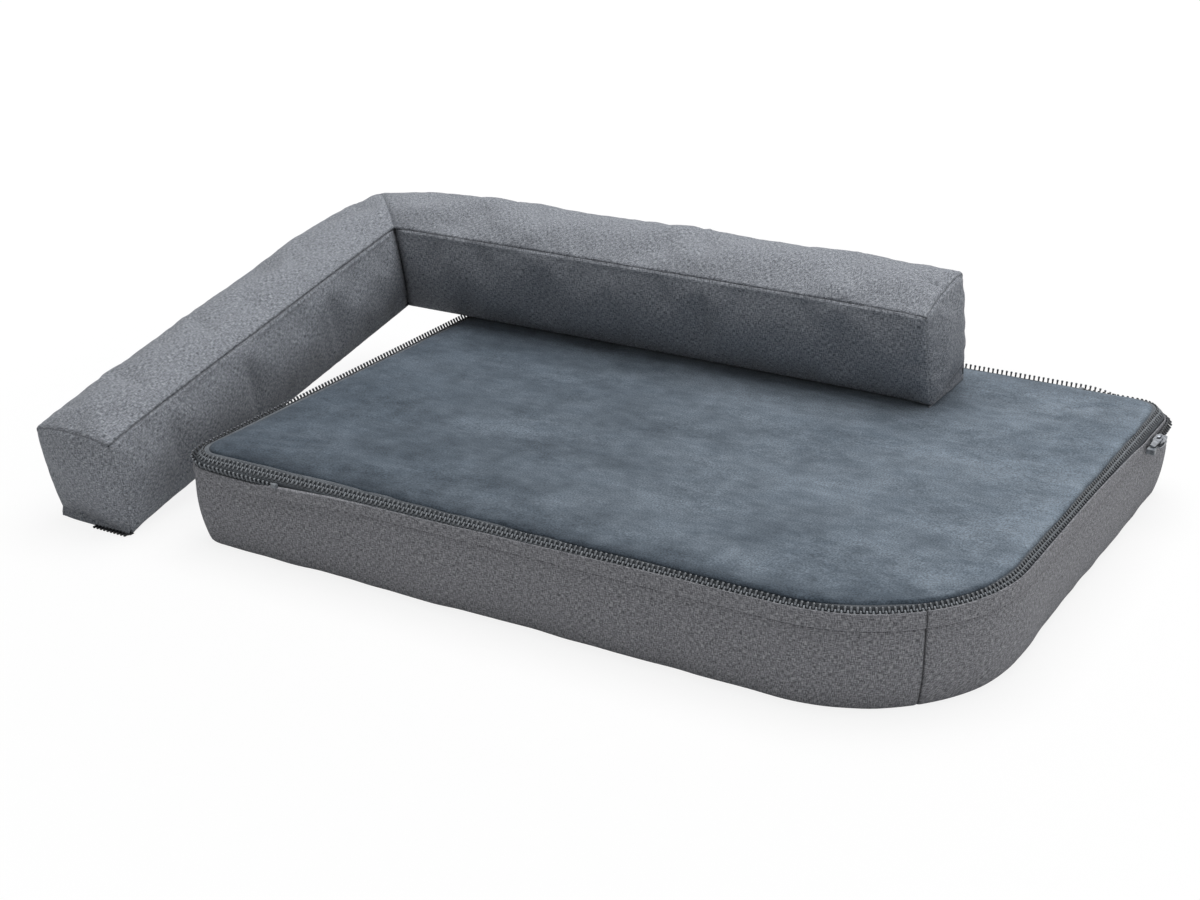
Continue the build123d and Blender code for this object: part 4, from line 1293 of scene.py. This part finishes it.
# Skirt under the bolster's outer seam, with the other half of the bolster zip
def strip(name, top, bottom, outward, bulge, node, material=canvas):
    """A strip of cloth between two lines, pushed out by a bulge given at four heights, with a soft wave."""
    downs = np.array([0.0, 0.2, 0.45, 0.7, 0.9, 1.0])
    pushed = np.interp(downs, (0, 0.35, 0.7, 1), mm(*bulge))
    points = top[:, None] + downs[None, :, None] * (bottom - top)[:, None]
    wave = soft_noise(points, 30 * MM, 70) * 0.9 * MM + soft_noise(points, 12 * MM, 71) * 0.3 * MM
    points = points + outward[:, None] * (pushed[None] + wave * downs[None])[..., None]
    piece = grid_piece(name, placed(points), "bolster", [node] if node else [], material)
    # Painted shadow along the strip's top, under the edge of the panel above it.
    point_values(piece, "painted_seam_shade", np.tile(0.7 * (1 - smoothstep(downs, 0, 0.35)), len(top)))
    thicken(piece, fabric_thickness, 0.0)


def end_strip(name, top, bottom, outward, bulge):
    """A strip of skirt under an arm's end. Its lines are given by their x, y and z."""
    top, bottom = (np.stack(np.broadcast_arrays(*line), 1) for line in (top, bottom))
    strip(name, top, bottom, np.tile(outward, (len(top), 1)), bulge, None)


def outer_path(step):
    """Points under the outer seam from the long arm's end, and how far along the short arm they are."""
    long_x = np.arange(long_arm, -bolster_width, -step)
    short_y = np.append(np.arange(bolster_width, -short_arm, -step), -short_arm)
    path = np.concatenate([np.stack([long_x, np.full_like(long_x, bolster_width)], 1),
                           np.stack([np.full_like(short_y, -bolster_width), short_y], 1)])
    outward = np.repeat([[0.0, 1.0, 0.0], [-1.0, 0.0, 0.0]], [len(long_x), len(short_y)], 0)
    share = np.clip((bolster_width - path[:, 1]) / (bolster_width + short_arm), 0, 1)
    return path, outward, np.where(np.arange(len(path)) < len(long_x), 0.0, share)


def row_height(share):
    """Height of the bolster's row of teeth, by how far along the short arm it is."""
    return -rail_height + (rail_height + rail_finish_height) * share


def hem_height(share):
    """Height of the skirt's hem, by how far along the short arm it is."""
    return -skirt_height + (skirt_height + rail_finish_height) * share


def bolster_skirt():
    """The skirt: along the outer seam, and a tapered strip under each end."""
    path, outward, share = outer_path(8 * MM)
    inset = path - outward[:, :2] * skirt_inset
    hem = hem_height(share) + 0.3 * MM * share
    strip("bolster_side_skirt", at_height(inset, lifted_seam * share), at_height(inset, hem), outward,
          (0, 0.6, 0.8, 0.2), "bolster_skirt")
    across, end = np.linspace(2 * MM, bolster_width, 30), long_arm - 1 * MM
    end_strip("bolster_long_end_skirt", (end, across, 0), (end, across, -across * math.tan(tilt)),
              (1.0, 0, 0), (0, -0.5, 0, 0))
    across = np.linspace(base_tuck / 2, bolster_width - 1.5 * MM, 30)
    rise = lifted_seam * across / bolster_width
    end_strip("bolster_short_end_skirt", (-across, -short_arm + 1.0 * MM, rise + 9.0 * MM),
              (-across, -short_arm - 2.5 * MM, rise * 0.35 + 0.8 * MM), (0, -1.0, 0), (-2.0, 1.0, 2.5, 2.5))


def bolster_rows():
    """The bolster's two long rows of teeth, pointing down under its tape."""
    tape_out = bolster_width - tape_inset
    long_x = np.arange(long_arm - pin_room, -bolster_width + 7 * MM, -tooth_pitch)
    short_y = np.arange(bolster_width - 7 * MM, -short_arm + 6 * MM, -tooth_pitch)
    share = (bolster_width - short_y) / (bolster_width + short_arm)
    for name, row, heading, up in (
            ("bolster_long_teeth", (long_x, tape_out, -rail_height), (-1.0, 0, 0), (0, 1.0, 0)),
            ("bolster_short_teeth", (-tape_out, short_y, row_height(share)), (0, -1.0, 0), (-1.0, 0, 0))):
        row = np.stack(np.broadcast_arrays(*row), 1)
        directions = [turned(np.tile(way, (len(row), 1))) for way in (heading, (0, 0, -1.0), up)]
        teeth_object(name, placed(row), *directions, "bolster", "bolster_zip_bolster_teeth", bolster_tooth)


def bolster_zip():
    """The bolster's half of the zip: its tape, its teeth along two sides and the short stretch at the end."""
    path, outward, share = outer_path(6 * MM)
    inset = path - outward[:, :2] * tape_inset
    top, bottom = at_height(inset, hem_height(share) + 2.5 * MM), at_height(inset, row_height(share))
    strip("bolster_zip_tape", top, bottom, outward, (0, 0, 0, 0), "bolster_zip_bolster_tape",
          tape)
    bolster_rows()
    count = int((end_row_x[1] - end_row_x[0]) / tooth_pitch)
    x = end_row_x[0] + (np.arange(count) + 0.5) * tooth_pitch
    row = np.stack(np.broadcast_arrays(x, end_row_y - 0.5 * MM, end_row_z), 1)
    ways = [np.tile(way, (count, 1)) for way in ((1.0, 0, 0), (0, -1.0, 0), (0, 0, 1.0))]
    teeth_object("bolster_end_teeth", row, *ways, "bolster", None, end_tooth, black_plastic)
    edge = np.linspace(end_row_x[0], end_row_x[1], 12)
    depth = mm(4.5, 3.0, 1.0, -0.6)
    points = np.stack(np.broadcast_arrays(edge[:, None], (end_row_y + depth)[None], end_row_z), 2)
    piece = grid_piece("bolster_end_tape", points, "bolster", [], black_tape)
    thicken(piece, tape_thickness, 0.0)


bolster_skirt()
bolster_zip()


# CAD pieces that keep their shape
def keep(node, material):
    """A hard CAD node with its edges eased and a finished material."""
    piece = frame["nodes"][node]
    for material_slot in piece.material_slots:
        material_slot.material = material
    ease = piece.modifiers.new("eased edges", "BEVEL")
    ease.width = 0.25 * MM
    ease.segments = 2
    ease.limit_method = "ANGLE"


for node in ("cover_zip_slider", "cover_zip_pull", "bolster_zip_slider", "bolster_zip_pull"):
    keep(node, metal)
for node in ("cover_zip_stops", "bolster_zip_box", "bolster_zip_front_stop", "bolster_zip_pin"):
    keep(node, plastic)


# Camera, floor and light
image_width = 1200
image_height = 900
focal_pixels = 1880
centre_pixel = (657, 456)
sensor_width = 36
camera_place = (0.8424, -1.5552, 0.8034)
camera_yaw = math.radians(29.6)
camera_pitch = math.radians(22.7)
camera_roll = math.radians(-0.14)
floor_half = 30.0
floor_drop = 0.4 * MM


def photo_camera():
    """The camera that sees the bed as the photograph does: its yaw is from +Y and its pitch is down."""
    data = bpy.data.cameras.new("camera")
    data.sensor_width = sensor_width
    data.lens = focal_pixels * sensor_width / image_width
    data.shift_x = (image_width / 2 - centre_pixel[0]) / image_width
    data.shift_y = (centre_pixel[1] - image_height / 2) / image_width
    camera = add_object("camera", data)
    camera.location = camera_place
    turn = Matrix.Rotation(camera_yaw, 4, "Z") @ Matrix.Rotation(math.pi / 2 - camera_pitch, 4, "X")
    camera.rotation_euler = (turn @ Matrix.Rotation(camera_roll, 4, "Z")).to_euler()
    bpy.context.scene.camera = camera


def floor():
    """A plain pale floor that shows white to the camera and keeps the bed's shadow."""
    corners = [(-floor_half, -floor_half, 0), (floor_half, -floor_half, 0), (floor_half, floor_half, 0),
               (-floor_half, floor_half, 0)]
    mesh = bpy.data.meshes.new("floor")
    mesh.from_pydata(corners, [], [(0, 1, 2, 3)])
    plane = add_object("floor", mesh)
    plane.location.z = -floor_drop
    nodes = new_material("floor")
    place = nodes.object_place()
    shades = nodes.ramp(nodes.streaks(place, (40.0, 40.0, 40.0)), [(0.0, grey(0.86)), (1.0, grey(0.9))])
    shader = nodes.surface({"Base Color": shades, "Roughness": 0.9})
    glow = nodes.add("Emission", Color=grey(1.0), Strength=1.02)
    reach = nodes.add("VectorMath", operation="LENGTH", Vector=place).outputs["Value"]
    fade = nodes.map_range(reach, 0.5, 1.3, 0.84)
    seen = nodes.add("LightPath").outputs["Is Camera Ray"]
    far = nodes.add("MixShader", Fac=nodes.combined("MULTIPLY", seen, fade))
    nodes.put(shader.outputs["BSDF"], far.inputs[1])
    nodes.put(glow.outputs["Emission"], far.inputs[2])
    nodes.put(far.outputs["Shader"], nodes.tree.nodes["Material Output"].inputs["Surface"])
    mesh.materials.append(nodes.owner)


def lamp(name, place, target, size, power):
    """A soft square lamp that points at a target."""
    data = bpy.data.lights.new(name, "AREA")
    data.shape = "SQUARE"
    data.size = size
    data.energy = power
    light = add_object(name, data)
    light.location = place
    light.rotation_euler = (Vector(target) - Vector(place)).to_track_quat("-Z", "Y").to_euler()


def world():
    """Even light from all round, white to the camera and in reflections."""
    sky = bpy.data.worlds.new("studio")
    bpy.context.scene.world = sky
    nodes = Nodes(sky)
    paths = nodes.add("LightPath").outputs
    seen = nodes.combined("MAXIMUM", paths["Is Camera Ray"], paths["Is Glossy Ray"])
    background = {"Strength": nodes.map_range(seen, 0.0, 1.0, 0.25), "Color": grey(1.0)}
    nodes.fill(nodes.tree.nodes["Background"], background)


photo_camera()
floor()
world()
lamp("overhead", (0.0, 0.35, 2.6), (-0.05, 0.0, 0.0), 2.2, 61)
lamp("right_side", (2.5, 0.5, 1.3), (0.1, 0.0, 0.1), 1.2, 8)
bpy.context.scene.view_settings.view_transform = "Standard"
